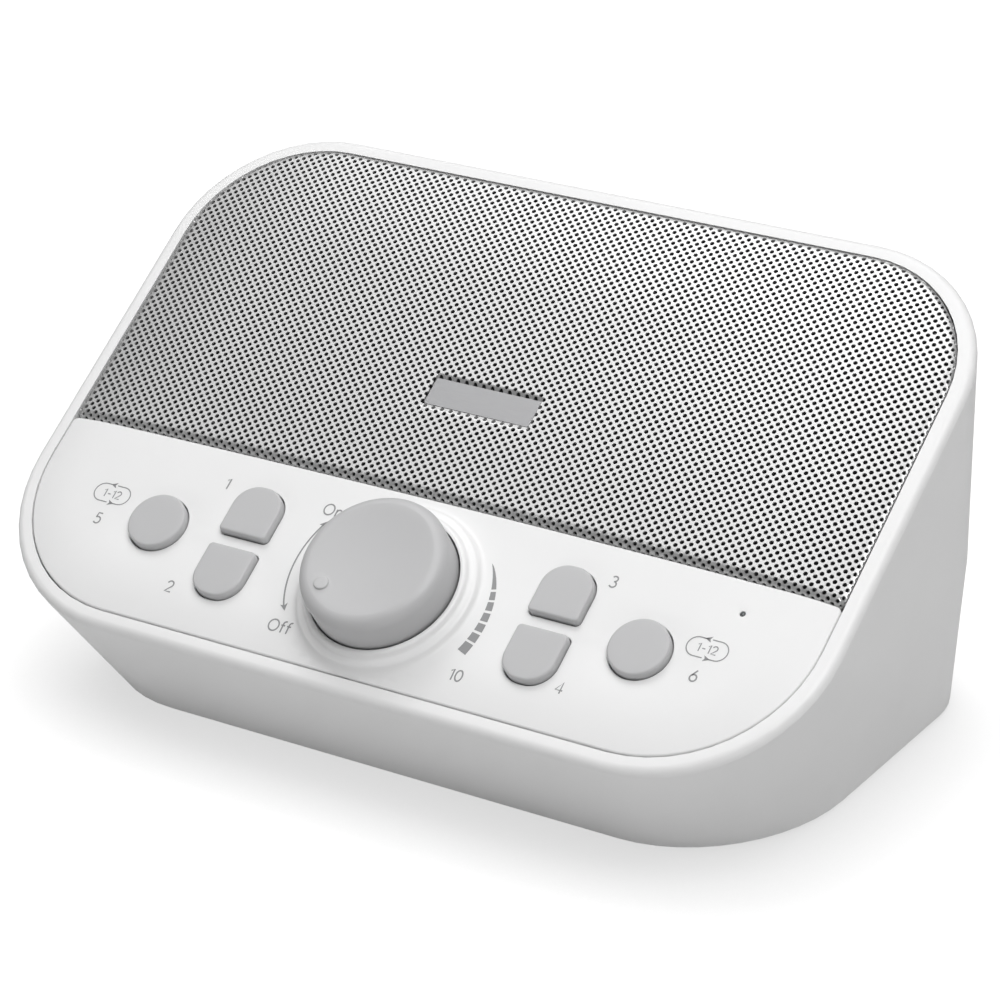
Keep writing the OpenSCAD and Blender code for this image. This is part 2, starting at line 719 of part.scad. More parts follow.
module speaker_dust_cap() {
    cap_r = 7.5;
    dome_r = 12;
    slope = (n_flange - n_neck) / (cone_d / 2 - 0.6 - coil_d / 2 - coil_t);
    n_seat_cap = n_neck + (cap_r - coil_d / 2 - coil_t) * slope + 0.1;
    color(dark) on_speaker() translate([0, 0, n_seat_cap - sqrt(dome_r * dome_r - cap_r * cap_r)])
        rotate_extrude() intersection() {
            difference() {
                circle(r = dome_r);
                circle(r = dome_r - 0.5);
            }
            translate([0, sqrt(dome_r * dome_r - cap_r * cap_r)]) square([dome_r, dome_r]);
        }
}

module speaker_voice_coil() {
    color(brass) on_speaker() ring(coil_d + 2 * coil_t, coil_d, n_plate - coil_reach, n_neck - 0.1);
}

module speaker_spider() {
    outer = magnet_d / 2 - 1;
    color(brass) on_speaker() rotate_extrude() polygon([
        [coil_d / 2 + coil_t, n_plate + spider_up + 2 * spider_t], [outer - spider_t, n_plate + spider_up + 2 * spider_t],
        [outer - spider_t, n_plate + spider_up], [outer - 4 * spider_t, n_plate + spider_up],
        [outer - 4 * spider_t, n_plate + spider_up + spider_t], [coil_d / 2 + coil_t, n_plate + spider_up + spider_t]]);
}

module speaker_front_plate() {
    color(steel) on_speaker() ring(magnet_d - 3, plate_hole_d, n_plate - front_plate_t, n_plate);
}

module speaker_magnet() {
    color([0.2, 0.2, 0.21]) on_speaker()
        ring(magnet_d, plate_hole_d + 3, n_plate - front_plate_t - magnet_t, n_plate - front_plate_t);
}

module speaker_yoke() {
    n_yoke = n_plate - front_plate_t - magnet_t;
    color(steel) on_speaker() {
        rod(magnet_d - 2, n_yoke - yoke_t, n_yoke);
        rod(pole_d, n_yoke - eps, n_plate);
    }
}

// A small tag board on the basket's edge with two lugs
lug_out = 2.6;
module speaker_terminals() {
    color(brass) on_speaker() {
        translate([speaker_d / 2 - 1.2, -5, n_flange - flange_t - 1]) cube([lug_out + 2.4, 10, 1]);
        for (s = [-1, 1]) translate([speaker_d / 2 + lug_out - 0.3, s * 2.6 - 0.9, n_flange - flange_t - 4])
            cube([0.6, 1.8, 3 + eps]);
    }
}

module speaker_screws() {
    color(steel) on_speaker() at_four(2 * flange_hole, 2 * flange_hole) translate([0, 0, n_flange - flange_t])
        screw(speaker_head_d, speaker_head_h, speaker_screw_d - 0.5,
            flange_t + surround_t + gasket_t + baffle_t - 0.7);
}

// ---------------------------------------------------------------- controls

// The board follows the window with room to spare
module control_board() {
    color(board_green) on_face() difference() {
        slab(window_outline(-1.4), n_board - board_t, n_board);
        for (p = control_screw_places) translate(p) rod(board_screw_d + 0.3, n_board - board_t - 1, n_board + 1);
    }
}

board_screw_d = 2;
board_head_d = 3.6;
board_head_h = 1.3;
module control_board_screws() {
    color(steel) for (p = control_screw_places) on_face(p[0], p[1], n_board - board_t)
        screw(board_head_d, board_head_h, board_screw_d - 0.5, board_t + 2 * board_screw_d);
}

plunger_fit = 0.08;
module key_switches() {
    color(dark) for (b = button_places) on_face(b[0], b[1]) difference() {
        translate([-switch_w / 2, -switch_w / 2, n_board]) cube([switch_w, switch_w, switch_h]);
        rod(plunger_d + 2 * plunger_fit, n_switch - 2, n_switch + 1);
    }
}

// The plunger moves with its button. Its top carries the button's stem
plunger_rise = 1.2;
module plunger(i) {
    b = button_places[i];
    color(brass) on_face(b[0], b[1]) rod(plunger_d, n_switch + 0.3 - 2 + button_travel, n_switch + plunger_rise);
}

stem_d = 4;
lip_t = 1;
thin = 0.05;
// The cap stands in the panel's hole, with a lip behind the skin and a stem down to the plunger
module button(i) {
    b = button_places[i];
    top = crown + button_rise;
    n_lip = n_skin - 0.3;
    color(grey) on_face(b[0], b[1]) {
        if (b[2] == 0) rotate_extrude() polygon(concat(
            [[0, n_lip - eps], [round_d / 2, n_lip - eps]],
            [for (a = [0:15:90]) [round_d / 2 - button_round * (1 - cos(a)), top - button_round * (1 - sin(a))]],
            [[0, top]]));
        else {
            translate([0, 0, n_lip - eps]) linear_extrude(height = top - button_round - n_lip + eps) button_shape(b[2], 0);
            hull() for (a = [0:30:90]) translate([0, 0, top - button_round * (1 - sin(a)) - thin])
                linear_extrude(height = thin) button_shape(b[2], -button_round * (1 - cos(a)));
        }
        translate([0, 0, n_lip - lip_t]) linear_extrude(height = lip_t) button_shape(b[2], lip_w);
        rod(stem_d, n_switch + plunger_rise, n_lip - lip_t + eps);
    }
}

// The ribbon cable's header on the rear of the control board
header_w = 16;
header_l = 5;
header_h = 5;
header_u = 24;
module control_header() {
    color(white) on_face(0, -header_u) translate([-header_w / 2, -header_l / 2, n_board - board_t - header_h])
        cube([header_w, header_l, header_h]);
}

led_d = 3;
module status_led() {
    color([0.85, 0.9, 0.95]) on_face(light_x, -light_u) {
        rod(led_d, n_board + 1.6, n_skin - 1 - led_d / 2);
        translate([0, 0, n_skin - 1 - led_d / 2]) sphere(d = led_d);
        rod(led_d + 0.7, n_board + 0.9, n_board + 1.7);
        for (s = [-1, 1]) translate([s * 1.27, 0, 0]) rod(0.5, n_board, n_board + 1);
    }
}

module light_pipe() {
    color([0.9, 0.95, 1]) on_face(light_x, -light_u) {
        rod(light_d, n_skin - eps, crown - 0.1);
        rod(light_step_d, n_skin - 0.8, n_skin);
    }
}

// The control with its bushing. The shaft turns in it with the knob
bushing_d = 7;
pot_w = 12;
pot_h = 6.6;
pot_top = pot_h - board_n;
module potentiometer() {
    color(steel) on_face(0, -knob_u) difference() {
        union() {
            translate([-pot_w / 2, -pot_w / 2, n_board]) cube([pot_w, pot_w, pot_top - n_board]);
            rod(bushing_d, pot_top - eps, knob_floor - 1.1);
        }
        rod(shaft_d + 2 * shaft_fit, pot_top - 2, knob_floor);
    }
}

knob_floor = 1.3;
shaft_cover = 2.2;
shaft_top = knob_top - shaft_cover;
flat_depth = 1.5;
module shaft_form(d, low, high, flat_from) {
    difference() {
        rod(d, low, high);
        translate([-d, d / 2 - flat_depth, flat_from]) cube([2 * d, d, high]);
    }
}

module potentiometer_shaft() {
    color(steel) on_face(0, -knob_u) rotate(pip_angle) shaft_form(shaft_d, pot_top - 1.7, shaft_top, knob_floor);
}

function dish_level(x, ball) = knob_top - knob_dish + ball - sqrt(ball * ball - x * x);

module volume_knob() {
    r = knob_d / 2;
    hub = shaft_d / 2 + 1.8;
    roof = knob_top - 1.9;
    edge = r - knob_round;
    ball = (edge * edge + knob_dish * knob_dish) / (2 * knob_dish);
    pip_top = knob_top - knob_dish + pip_r * pip_r / (2 * ball) + pip_rise;
    color(grey) on_face(0, -knob_u) rotate(pip_angle) difference() {
        union() {
            rotate_extrude() polygon(concat(
                [[r - knob_wall, knob_floor], [r, knob_floor]],
                [for (a = [0:7.5:90]) [r - knob_round * (1 - cos(a)), knob_top - knob_round * (1 - sin(a))]],
                [for (k = [1:5]) [edge * (1 - k / 5), dish_level(edge * (1 - k / 5), ball)]],
                [[0, roof], [r - knob_wall - 1, roof], [r - knob_wall, roof - 1]]));
            translate([pip_r, 0, 0]) rotate_extrude() polygon(concat(
                [[0, roof + 0.2], [pip_d / 2, roof + 0.2]],
                [for (a = [0:30:90]) [pip_d / 2 - 0.2 * (1 - cos(a)), pip_top - 0.2 * (1 - sin(a))]],
                [[0, pip_top]]));
            rod(2 * hub, knob_floor + 0.2, roof + eps);
        }
        shaft_form(shaft_d + 0.1, knob_floor - 1, shaft_top + 0.05, knob_floor - 2);
    }
}

// ---------------------------------------------------------------- main board

n_main = n_post - board_t;
module main_board() {
    color(board_green) on_rear(0, board_v) difference() {
        slab(round_rect(board_w / 2, -board_l / 2, board_l / 2, 1.5, 1.5, 1.5), n_main, n_post);
        at_four(post_span_x, post_span_v) rod(board_screw_d + 0.4, n_main - 1, n_post + 1);
    }
}

module main_board_screws() {
    color(steel) on_rear(0, board_v) at_four(post_span_x, post_span_v) translate([0, 0, n_main])
        screw(board_head_d, board_head_h, board_screw_d - 0.4, board_t + post_h - 3);
}

module chip(x, v, w, l, h) {
    translate([x - w / 2, v - l / 2, n_main - h]) cube([w, l, h]);
}

chip_w = 10;
chip_h = 1.6;
chip_in = 18;
chip_x = post_span_x / 2 - chip_in;
module main_chips() {
    color(dark) on_rear() {
        chip(-chip_x, board_v + chip_w / 3, chip_w, chip_w * 0.8, chip_h);
        chip(chip_x - 2, board_v + chip_w / 3, chip_w * 0.7, chip_w / 2, chip_h);
        chip(0, board_v - post_span_v / 2 + chip_w / 4, chip_w * 0.6, chip_w / 2, chip_h);
    }
}

// Two capacitors stand between the boards' screws, and a small one beyond the sockets
cap_d = 6.3;
cap_h = 9;
cap_gap = 1.6;
cap_v = board_v - board_l / 2 + cap_d / 2 + 1.85;
cap_x = post_span_x / 2 - board_head_d / 2 - cap_d / 2 - 1;
module main_capacitors() {
    color([0.16, 0.2, 0.34]) on_rear() {
        for (i = [0, 1]) translate([i * (cap_d + cap_gap) - cap_x, cap_v, n_main - cap_h]) cylinder(d = cap_d, h = cap_h);
        translate([chip_x / 2 + cap_gap, cap_v, n_main - cap_h / 1.5]) cylinder(d = cap_d * 0.8, h = cap_h / 1.5);
    }
}

// Headers for the ribbon cable and for the speaker's leads
leads_x = cap_gap - cap_x;
leads_w = 7;
leads_l = 4.5;
leads_v = cap_v + cap_d / 2 + leads_l / 2 + cap_gap;
module main_headers() {
    color(white) on_rear() {
        chip(0, board_v + 5, header_w, header_l, header_h);
        chip(leads_x, leads_v, leads_w, leads_l, header_h);
    }
}

// A socket on the main board whose nose fills its hole in the rear wall. Bores start at the nose's end
module jack_body(w, nose_d, bore) {
    nose_end = -0.5;
    difference() {
        union() {
            translate([-w / 2, -w / 2, n_post]) cube([w, w, post_h - 0.3]);
            rod(nose_d, -wall - 1, nose_end);
        }
        rod(bore, nose_end - jack_depth, 1);
    }
}

module power_inlet() {
    color(dark) on_rear(-jack_x, jack_v) jack_body(inlet_w, inlet_nose_d, inlet_bore);
    color(steel) on_rear(-jack_x, jack_v) rod(inlet_pin, -1.5 - jack_depth, -2);
}

module audio_socket() {
    color(dark) on_rear(jack_x, jack_v) jack_body(audio_w, audio_nose_d, audio_bore);
}

// ---------------------------------------------------------------- wiring inside

function face_point(u, n) = [
    y_face + u * cos(face_tilt) - n * sin(face_tilt), z_face + u * sin(face_tilt) + n * cos(face_tilt)];
function rear_point(v, d) = [
    y_rear - v * sin(rear_lean) + d * cos(rear_lean), z_low + v * cos(rear_lean) + d * sin(rear_lean)];

// The ribbon hangs in a soft bow between its two headers
ribbon_w = 13;
ribbon_t = 0.9;
ribbon_start = face_point(-header_u, n_board - board_t - header_h);
ribbon_end = rear_point(board_v + 5, n_main - header_h);
ribbon_sag = 12;
function bow(a, b, sag, s) = [
    a[0] + (b[0] - a[0]) * s, a[1] + (b[1] - a[1]) * s - 4 * sag * s * (1 - s)];

module ribbon_cable() {
    centre = [for (i = [0:16]) bow(ribbon_start, ribbon_end, ribbon_sag, i / 16)];
    color(grey) translate([-ribbon_w / 2, 0, 0]) rotate([90, 0, 90]) linear_extrude(height = ribbon_w) polygon(concat(
        [for (p = centre) [p[0], p[1] - ribbon_t]], [for (i = [16:-1:0]) centre[i]]));
}

lead_d = 1.4;
lead_gap = 0.25;
module tube(points, d) {
    for (i = [0:len(points) - 2]) {
        step = points[i + 1] - points[i];
        translate(points[i]) rotate([0, acos(step[2] / norm(step)), atan2(step[1], step[0])])
            cylinder(d = d, h = norm(step));
        if (i > 0) translate(points[i]) sphere(d = d + 0.1);
    }
}

module speaker_leads() {
    lug_x = speaker_d / 2 + lug_out;
    lug_n = n_flange - flange_t - 4 - lead_gap;
    color("darkred") for (s = [-1, 1]) {
        lug = face_point(speaker_u + s * 2.6, lug_n);
        plug = rear_point(leads_v, n_main - header_h - lead_gap);
        end_x = -leads_x + s * 1.6;
        tube([
            [lug_x, lug[0], lug[1]], [lug_x + 1.5, lug[0] + 3, lug[1] - 7],
            [end_x + s, (lug[0] + plug[0]) / 2 + 2, (lug[1] + plug[1]) / 2 - 3],
            [end_x, plug[0] - 4, plug[1] + 1], [end_x, plug[0], plug[1]]], lead_d);
    }
}

housing();
base_plate();
rubber_feet();
base_screws();
front_baffle();
baffle_screws();
control_panel();
grille();
grille_cloth();
nameplate();
speaker_gasket();
speaker_basket();
speaker_surround();
speaker_cone();
speaker_dust_cap();
speaker_voice_coil();
speaker_spider();
speaker_front_plate();
speaker_magnet();
speaker_yoke();
speaker_terminals();
speaker_screws();
control_board();
control_board_screws();
key_switches();
control_header();
status_led();
light_pipe();
potentiometer();
potentiometer_shaft();
volume_knob();
button(0);  // round_button_left
button(1);  // arch_button_upper_left
button(2);  // arch_button_lower_left
button(3);  // arch_button_upper_right
button(4);  // arch_button_lower_right
button(5);  // round_button_right
plunger(0);  // plunger_round_left
plunger(1);  // plunger_upper_left
plunger(2);  // plunger_lower_left
plunger(3);  // plunger_upper_right
plunger(4);  // plunger_lower_right
plunger(5);  // plunger_round_right
main_board();
main_board_screws();
main_chips();
main_capacitors();
main_headers();
power_inlet();
audio_socket();
ribbon_cable();
speaker_leads();
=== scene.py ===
# White noise sound machine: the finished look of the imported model. The numbers below are millimetres,
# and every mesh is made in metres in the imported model's own frame.
import json
import math

import bmesh
import bpy
from mathutils import Euler, Matrix, Vector
from mathutils.geometry import delaunay_2d_cdt

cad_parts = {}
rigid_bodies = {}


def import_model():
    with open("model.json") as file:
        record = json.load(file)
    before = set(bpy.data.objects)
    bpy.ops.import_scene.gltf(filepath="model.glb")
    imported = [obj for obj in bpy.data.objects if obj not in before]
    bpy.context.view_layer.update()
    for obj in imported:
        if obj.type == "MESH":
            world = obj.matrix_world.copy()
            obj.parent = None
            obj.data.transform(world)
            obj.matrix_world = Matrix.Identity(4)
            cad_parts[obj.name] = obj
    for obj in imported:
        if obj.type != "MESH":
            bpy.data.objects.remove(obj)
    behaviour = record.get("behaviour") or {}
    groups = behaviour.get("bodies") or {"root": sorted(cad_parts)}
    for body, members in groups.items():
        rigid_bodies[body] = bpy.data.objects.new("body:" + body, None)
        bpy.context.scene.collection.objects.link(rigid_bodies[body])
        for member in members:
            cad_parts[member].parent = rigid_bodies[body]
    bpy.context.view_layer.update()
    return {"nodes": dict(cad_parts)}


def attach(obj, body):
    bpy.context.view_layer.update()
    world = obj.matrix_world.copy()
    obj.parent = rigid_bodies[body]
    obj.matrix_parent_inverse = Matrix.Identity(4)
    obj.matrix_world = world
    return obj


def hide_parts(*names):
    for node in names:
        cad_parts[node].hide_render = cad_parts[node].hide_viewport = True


for left_over in list(bpy.data.objects):
    bpy.data.objects.remove(left_over)
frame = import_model()
NODES = frame["nodes"]
MM = 0.001

# ---------------------------------------------------------------- sizes of the solids, in millimetres

# The case and its sloping face, whose upper and lower corners have different radii
FACE_TILT = math.radians(35.2)
FACE_W = 150
FACE_L = 99
FACE_R_TOP = 23.1
FACE_R_LOW = 26.2
FACE_HEIGHT = 50.7
RIM_W = 2.9
RIM_ROUND = 1.5
BASE_REAR = 57.5
FOOT_PROUD = 0.8
INSERT_DEPTH = 4.2
BAFFLE_T = 2.3
# What panel and grille share: the gap to the case, the crown's height and how far in it is reached, and the
# bow of the joint between them
SEAM_GAP = 0.25
CROWN = 0.85
CROWN_RUN = 9
SPLIT_ARCH = 0.7
# Control panel: a skin with a skirt, bosses for the control board's screws and pins that are staked
PANEL_L = 34.9
SKIN_T = 1.9
SKIRT_W = 1.5
BOARD_SCREW_IN = 8.55
BOARD_BOSS_D = 4.4
BOSS_ABOVE = 3.7
BOSS_BELOW = 4.1
STAKE_D = 1.7
STAKE_IN = 4.5
LIGHT_D = 0.9
LIGHT_IN = 15
LIGHT_DOWN = 6.3
# Grille and nameplate
GRILLE_ROLL = 1.3
GRILLE_RISE = 0.35
PLATE_W = 20.5
PLATE_H = 5.3
PLATE_UP = 20
PLATE_LEFT = 1.3
PLATE_DIP = 0.6
# Collar and knob with its pip
COLLAR_TOP = 3.3
COLLAR_D = 31.6
KNOB_UP = 17.1
KNOB_D = 25.5
KNOB_TOP = 9.9
KNOB_ROUND = 2.1
KNOB_WALL = 1.6
KNOB_FLOOR = 1.3
KNOB_DISH = 0.7
KNOB_GAP = 0.3
PIP_D = 2.5
PIP_R = 8.8
PIP_ANGLE = math.radians(226)
SHAFT_D = 6
BUSHING_D = 7
# Buttons, with their lip behind the skin and their stem down to the switch
BUTTON_GAP = 0.3
BUTTON_RISE = 1.4
ROUND_D = 10.4
ROUND_IN = 28.25
ROUND_UP = 17.9
ARCH_W = 9.3
ARCH_L = 9.6
ARCH_R = 4.2
ARCH_R_SMALL = 0.8
ARCH_IN = 16.6
ARCH_UP = 18
ARCH_PITCH = 12.2
LIP_W = 0.8
LIP_T = 1
STEM_D = 4
BOARD_N = 9
SWITCH_H = 3.5
PLUNGER_RISE = 1.2

# Places and levels that follow, across and up from the middle of the face, and out of the rim's level
SPLIT_U = FACE_L / 2 - PANEL_L
PLATE_U = PLATE_UP - SPLIT_U
KNOB_U = KNOB_UP - FACE_L / 2
ROUND_U = ROUND_UP - FACE_L / 2
ARCH_U = ARCH_UP - FACE_L / 2
LIGHT_U = -SPLIT_U - LIGHT_DOWN
LIGHT_X = FACE_W / 2 - LIGHT_IN
ROUND_X = FACE_W / 2 - ROUND_IN
ARCH_X = ROUND_X - ARCH_IN
BOARD_SCREW_X = ROUND_X - BOARD_SCREW_IN
N_SEAT = BAFFLE_T - INSERT_DEPTH
N_SKIN = CROWN - SKIN_T
N_FIELD = CROWN + GRILLE_RISE
N_SWITCH = SWITCH_H - BOARD_N
COS, SIN = math.cos(FACE_TILT), math.sin(FACE_TILT)
RIM_REACH = COS * (FACE_L / 2 + RIM_W - RIM_ROUND) - SIN * RIM_ROUND + RIM_ROUND
KNOB_REACH = COS * (KNOB_D / 2 - KNOB_ROUND - KNOB_U) + SIN * (KNOB_TOP - KNOB_ROUND) + KNOB_ROUND
Y_FACE = (max(RIM_REACH, KNOB_REACH) - BASE_REAR) / 2
Z_FACE = FOOT_PROUD + FACE_HEIGHT

# The six buttons: name, body, place on the face, and whether it is round, arched upward or downward
BUTTONS = (
    ("round_button_left", "round_left_button", -ROUND_X, ROUND_U, 0),
    ("arch_button_upper_left", "upper_left_button", -ARCH_X, ARCH_U + ARCH_PITCH / 2, 1),
    ("arch_button_lower_left", "lower_left_button", -ARCH_X, ARCH_U - ARCH_PITCH / 2, -1),
    ("arch_button_upper_right", "upper_right_button", ARCH_X, ARCH_U + ARCH_PITCH / 2, 1),
    ("arch_button_lower_right", "lower_right_button", ARCH_X, ARCH_U - ARCH_PITCH / 2, -1),
    ("round_button_right", "round_right_button", ROUND_X, ROUND_U, 0),
)


def on_face(x, u, n):
    """A place across, up and out of the sloping face, in metres."""
    return Vector((x, Y_FACE + u * COS - n * SIN, Z_FACE + u * SIN + n * COS)) * MM


# ---------------------------------------------------------------- finishes


def linear(code):
    """An sRGB hex colour as linear red, green, blue and alpha."""
    parts = [int(code[i:i + 2], 16) / 255 for i in (1, 3, 5)]
    return [p / 12.92 if p <= 0.04045 else ((p + 0.055) / 1.055) ** 2.4 for p in parts] + [1]


def add(tree, kind, feeds=None, **settings):
    """Adds a node. In feeds, a pair is a link from a node's output, and anything else is a value."""
    made = tree.nodes.new(kind)
    for name, value in settings.items():
        setattr(made, name, value)
    for name, value in (feeds or {}).items():
        if isinstance(value, tuple) and isinstance(value[0], bpy.types.Node):
            tree.links.new(made.inputs[name], value[0].outputs[value[1]])
        else:
            made.inputs[name].default_value = value
    return made


def new_finish(name):
    """An empty material, its tree and its surface coordinates, which stay with the piece."""
    material = bpy.data.materials.new(name)
    material.use_nodes = True
    tree = material.node_tree
    tree.nodes.clear()
    return material, tree, add(tree, "ShaderNodeTexCoord")


def close_finish(tree, shader):
    """Makes a shader the surface of its material."""
    add(tree, "ShaderNodeOutputMaterial", {"Surface": (shader, 0)})


# Size of the faint clouds in a plastic's colour
CLOUD_SIZE = 14


def moulded(name, colour, shade, roughness, grain, depth, ior=1.5):
    """Moulded plastic or rubber: an even colour with a faint cloudiness, and the fine grain of its mould."""
    material, tree, place = new_finish(name)
    cloud = add(tree, "ShaderNodeTexNoise", {
        "Vector": (place, "Object"), "Scale": 1 / (CLOUD_SIZE * MM), "Detail": 3, "Roughness": 0.5})
    tint = add(tree, "ShaderNodeMix", {
        "Factor": (cloud, "Fac"), 6: linear(colour), 7: linear(shade)}, data_type="RGBA")
    pits = add(tree, "ShaderNodeTexNoise", {
        "Vector": (place, "Object"), "Scale": 1 / (grain * MM), "Detail": 2, "Roughness": 0.6})
    dull = add(tree, "ShaderNodeMapRange", {
        "Value": (pits, "Fac"), "To Min": roughness - 0.05, "To Max": roughness + 0.05})
    relief = add(tree, "ShaderNodeBump", {
        "Height": (pits, "Fac"), "Strength": 1.0, "Distance": depth * MM})
    body = add(tree, "ShaderNodeBsdfPrincipled", {
        "Base Color": (tint, 2), "Roughness": (dull, "Result"), "IOR": ior, "Normal": (relief, "Normal")})
    close_finish(tree, body)
    return material


def metal(name, colour, shade, roughness, streak, depth, along=(1, 1, 1), metallic=1.0):
    """Bare or painted metal. Its streaks or grit are stretched along one direction of the piece."""
    material, tree, place = new_finish(name)
    stretch = add(tree, "ShaderNodeMapping", {"Vector": (place, "Object"), "Scale": along})
    lines = add(tree, "ShaderNodeTexNoise", {
        "Vector": (stretch, "Vector"), "Scale": 1 / (streak * MM), "Detail": 3, "Roughness": 0.6})
    tint = add(tree, "ShaderNodeMix", {
        "Factor": (lines, "Fac"), 6: linear(colour), 7: linear(shade)}, data_type="RGBA")
    dull = add(tree, "ShaderNodeMapRange", {
        "Value": (lines, "Fac"), "To Min": roughness - 0.06, "To Max": roughness + 0.06})
    relief = add(tree, "ShaderNodeBump", {
        "Height": (lines, "Fac"), "Strength": 1.0, "Distance": depth * MM})
    body = add(tree, "ShaderNodeBsdfPrincipled", {
        "Base Color": (tint, 2), "Roughness": (dull, "Result"), "Metallic": metallic,
        "Normal": (relief, "Normal")})
    close_finish(tree, body)
    return material


# Satin ABS with a fine spark-eroded grain, 0.35 mm across: soft, clean white without hard reflections
satin_white_abs = moulded("satin_white_abs", "#EEEEEE", "#EAEAEA", 0.42, 0.35, 0.0015)
# The panel is a separate moulding in the same plastic, polished a little finer
panel_white_abs = moulded("panel_white_abs", "#EDEDED", "#E9E9E9", 0.38, 0.30, 0.001)
# Light grey ABS keycaps with a matt touch
keycap_grey_abs = moulded("keycap_grey_abs", "#BFBFC0", "#BBBBBC", 0.45, 0.30, 0.0015)
# The knob's grey is a trace lighter, with the same matt touch
knob_grey_abs = moulded("knob_grey_abs", "#C0C0C1", "#BCBCBD", 0.45, 0.30, 0.0015)
# Screen-printed grey ink: flat, slightly duller than the plastic under it
printed_ink = moulded("printed_ink", "#939394", "#909091", 0.55, 0.20, 0.0005)
# Steel sheet of the grille under silver lacquer: a broad, soft metallic sheen with a faint grit
silver_lacquered_steel = metal(
    "silver_lacquered_steel", "#C4C4C4", "#BCBCBC", 0.34, 0.30, 0.002, metallic=0.6)
# Aluminium with fine lines that are drawn out along the plate
brushed_aluminium = metal(
    "brushed_aluminium", "#A6A6A7", "#9A9A9C", 0.42, 0.12, 0.002, along=(0.05, 1, 1), metallic=0.4)
# Zinc-plated steel of the screws and of the speaker's plates: bright with a fine blur
zinc_steel = metal("zinc_steel", "#C9CACC", "#B7B9BC", 0.32, 0.4, 0.002)
nickel_steel = metal("nickel_steel", "#D0CEC8", "#BFBDB6", 0.26, 0.6, 0.001)
tinned_brass = metal("tinned_brass", "#D8BC72", "#C9AA5C", 0.30, 0.4, 0.001)
copper_wire = metal("copper_wire", "#C8764A", "#B5633A", 0.30, 0.11, 0.01)
black_abs = moulded("black_abs", "#202021", "#1B1B1C", 0.45, 0.30, 0.002)
foot_rubber = moulded("foot_rubber", "#262627", "#2C2C2D", 0.75, 0.25, 0.004, ior=1.52)
sintered_ferrite = moulded("sintered_ferrite", "#2B2B2D", "#242426", 0.55, 0.15, 0.003, ior=2.0)
pressed_paper = moulded("pressed_paper", "#2A2A2B", "#222223", 0.85, 0.5, 0.03)
foam_black = moulded("foam_black", "#19191A", "#222223", 0.95, 0.6, 0.05)
spider_yellow = moulded("spider_yellow", "#C9A765", "#BE9B58", 0.85, 0.5, 0.03)
nylon_white = moulded("nylon_white", "#E9E6DD", "#E2DFD5", 0.40, 0.5, 0.002, ior=1.53)
plunger_brown = moulded("plunger_brown", "#5B4333", "#533C2D", 0.42, 0.4, 0.002, ior=1.53)
capacitor_sleeve = moulded("capacitor_sleeve", "#26324F", "#222D48", 0.28, 0.8, 0.001)
pvc_grey = moulded("pvc_grey", "#A9AAAB", "#A2A3A4", 0.40, 0.6, 0.002)
pvc_red = moulded("pvc_red", "#8E1F1C", "#841B18", 0.38, 0.6, 0.002)

# The length after which a wave texture of scale 1 repeats
WAVE_LENGTH = 0.314


def woven(name, colour, shade, pitch):
    """Plain-woven cloth: two crossing sets of threads, a pitch in millimetres apart."""
    material, tree, place = new_finish(name)
    warp, weft = (add(tree, "ShaderNodeTexWave", {
        "Vector": (place, "Object"), "Scale": WAVE_LENGTH / (pitch * MM), "Distortion": 0.4},
        bands_direction=way) for way in "XY")
    both = add(tree, "ShaderNodeMath", {0: (warp, "Fac"), 1: (weft, "Fac")}, operation="MULTIPLY")
    tint = add(tree, "ShaderNodeMix", {
        "Factor": (both, "Value"), 6: linear(colour), 7: linear(shade)}, data_type="RGBA")
    relief = add(tree, "ShaderNodeBump", {"Height": (both, "Value"), "Distance": 0.08 * MM})
    body = add(tree, "ShaderNodeBsdfPrincipled", {
        "Base Color": (tint, 2), "Roughness": 0.9, "Sheen Weight": 0.15, "Normal": (relief, "Normal")})
    close_finish(tree, body)
    return material


# Black polyester voile behind the grille, threads 0.3 mm apart
speaker_cloth = woven("speaker_cloth", "#0E0E0F", "#171718", 0.3)


def clear(name, colour, roughness, ior):
    """Clear moulded plastic with a faint haze."""
    material, tree, place = new_finish(name)
    haze = add(tree, "ShaderNodeTexNoise", {"Vector": (place, "Object"), "Scale": 1 / (1.5 * MM)})
    dull = add(tree, "ShaderNodeMapRange", {
        "Value": (haze, "Fac"), "To Min": roughness, "To Max": roughness + 0.08})
    body = add(tree, "ShaderNodeBsdfPrincipled", {
        "Base Color": linear(colour), "Roughness": (dull, "Result"), "IOR": ior, "Transmission Weight": 0.85})
    close_finish(tree, body)
    return material


clear_polycarbonate = clear("clear_polycarbonate", "#DDE3E6", 0.12, 1.585)
lens_epoxy = clear("lens_epoxy", "#E8F0EA", 0.08, 1.55)


def solder_masked():
    """Glass-epoxy board under green solder mask, with the faint lines of its copper tracks."""
    material, tree, place = new_finish("solder_masked_board")
    tracks = add(tree, "ShaderNodeTexBrick", {
        "Vector": (place, "Object"), "Scale": 1 / (6 * MM), "Mortar Size": 0.04, "Mortar Smooth": 0.3,
        "Color1": linear("#1F6A41"), "Color2": linear("#1B6039"), "Mortar": linear("#2F8455")})
    relief = add(tree, "ShaderNodeBump", {"Height": (tracks, "Fac"), "Distance": 0.03 * MM})
    body = add(tree, "ShaderNodeBsdfPrincipled", {
        "Base Color": (tracks, "Color"), "Roughness": 0.3, "IOR": 1.55, "Normal": (relief, "Normal")})
    close_finish(tree, body)
    return material


solder_mask_green = solder_masked()

# ---------------------------------------------------------------- making pieces


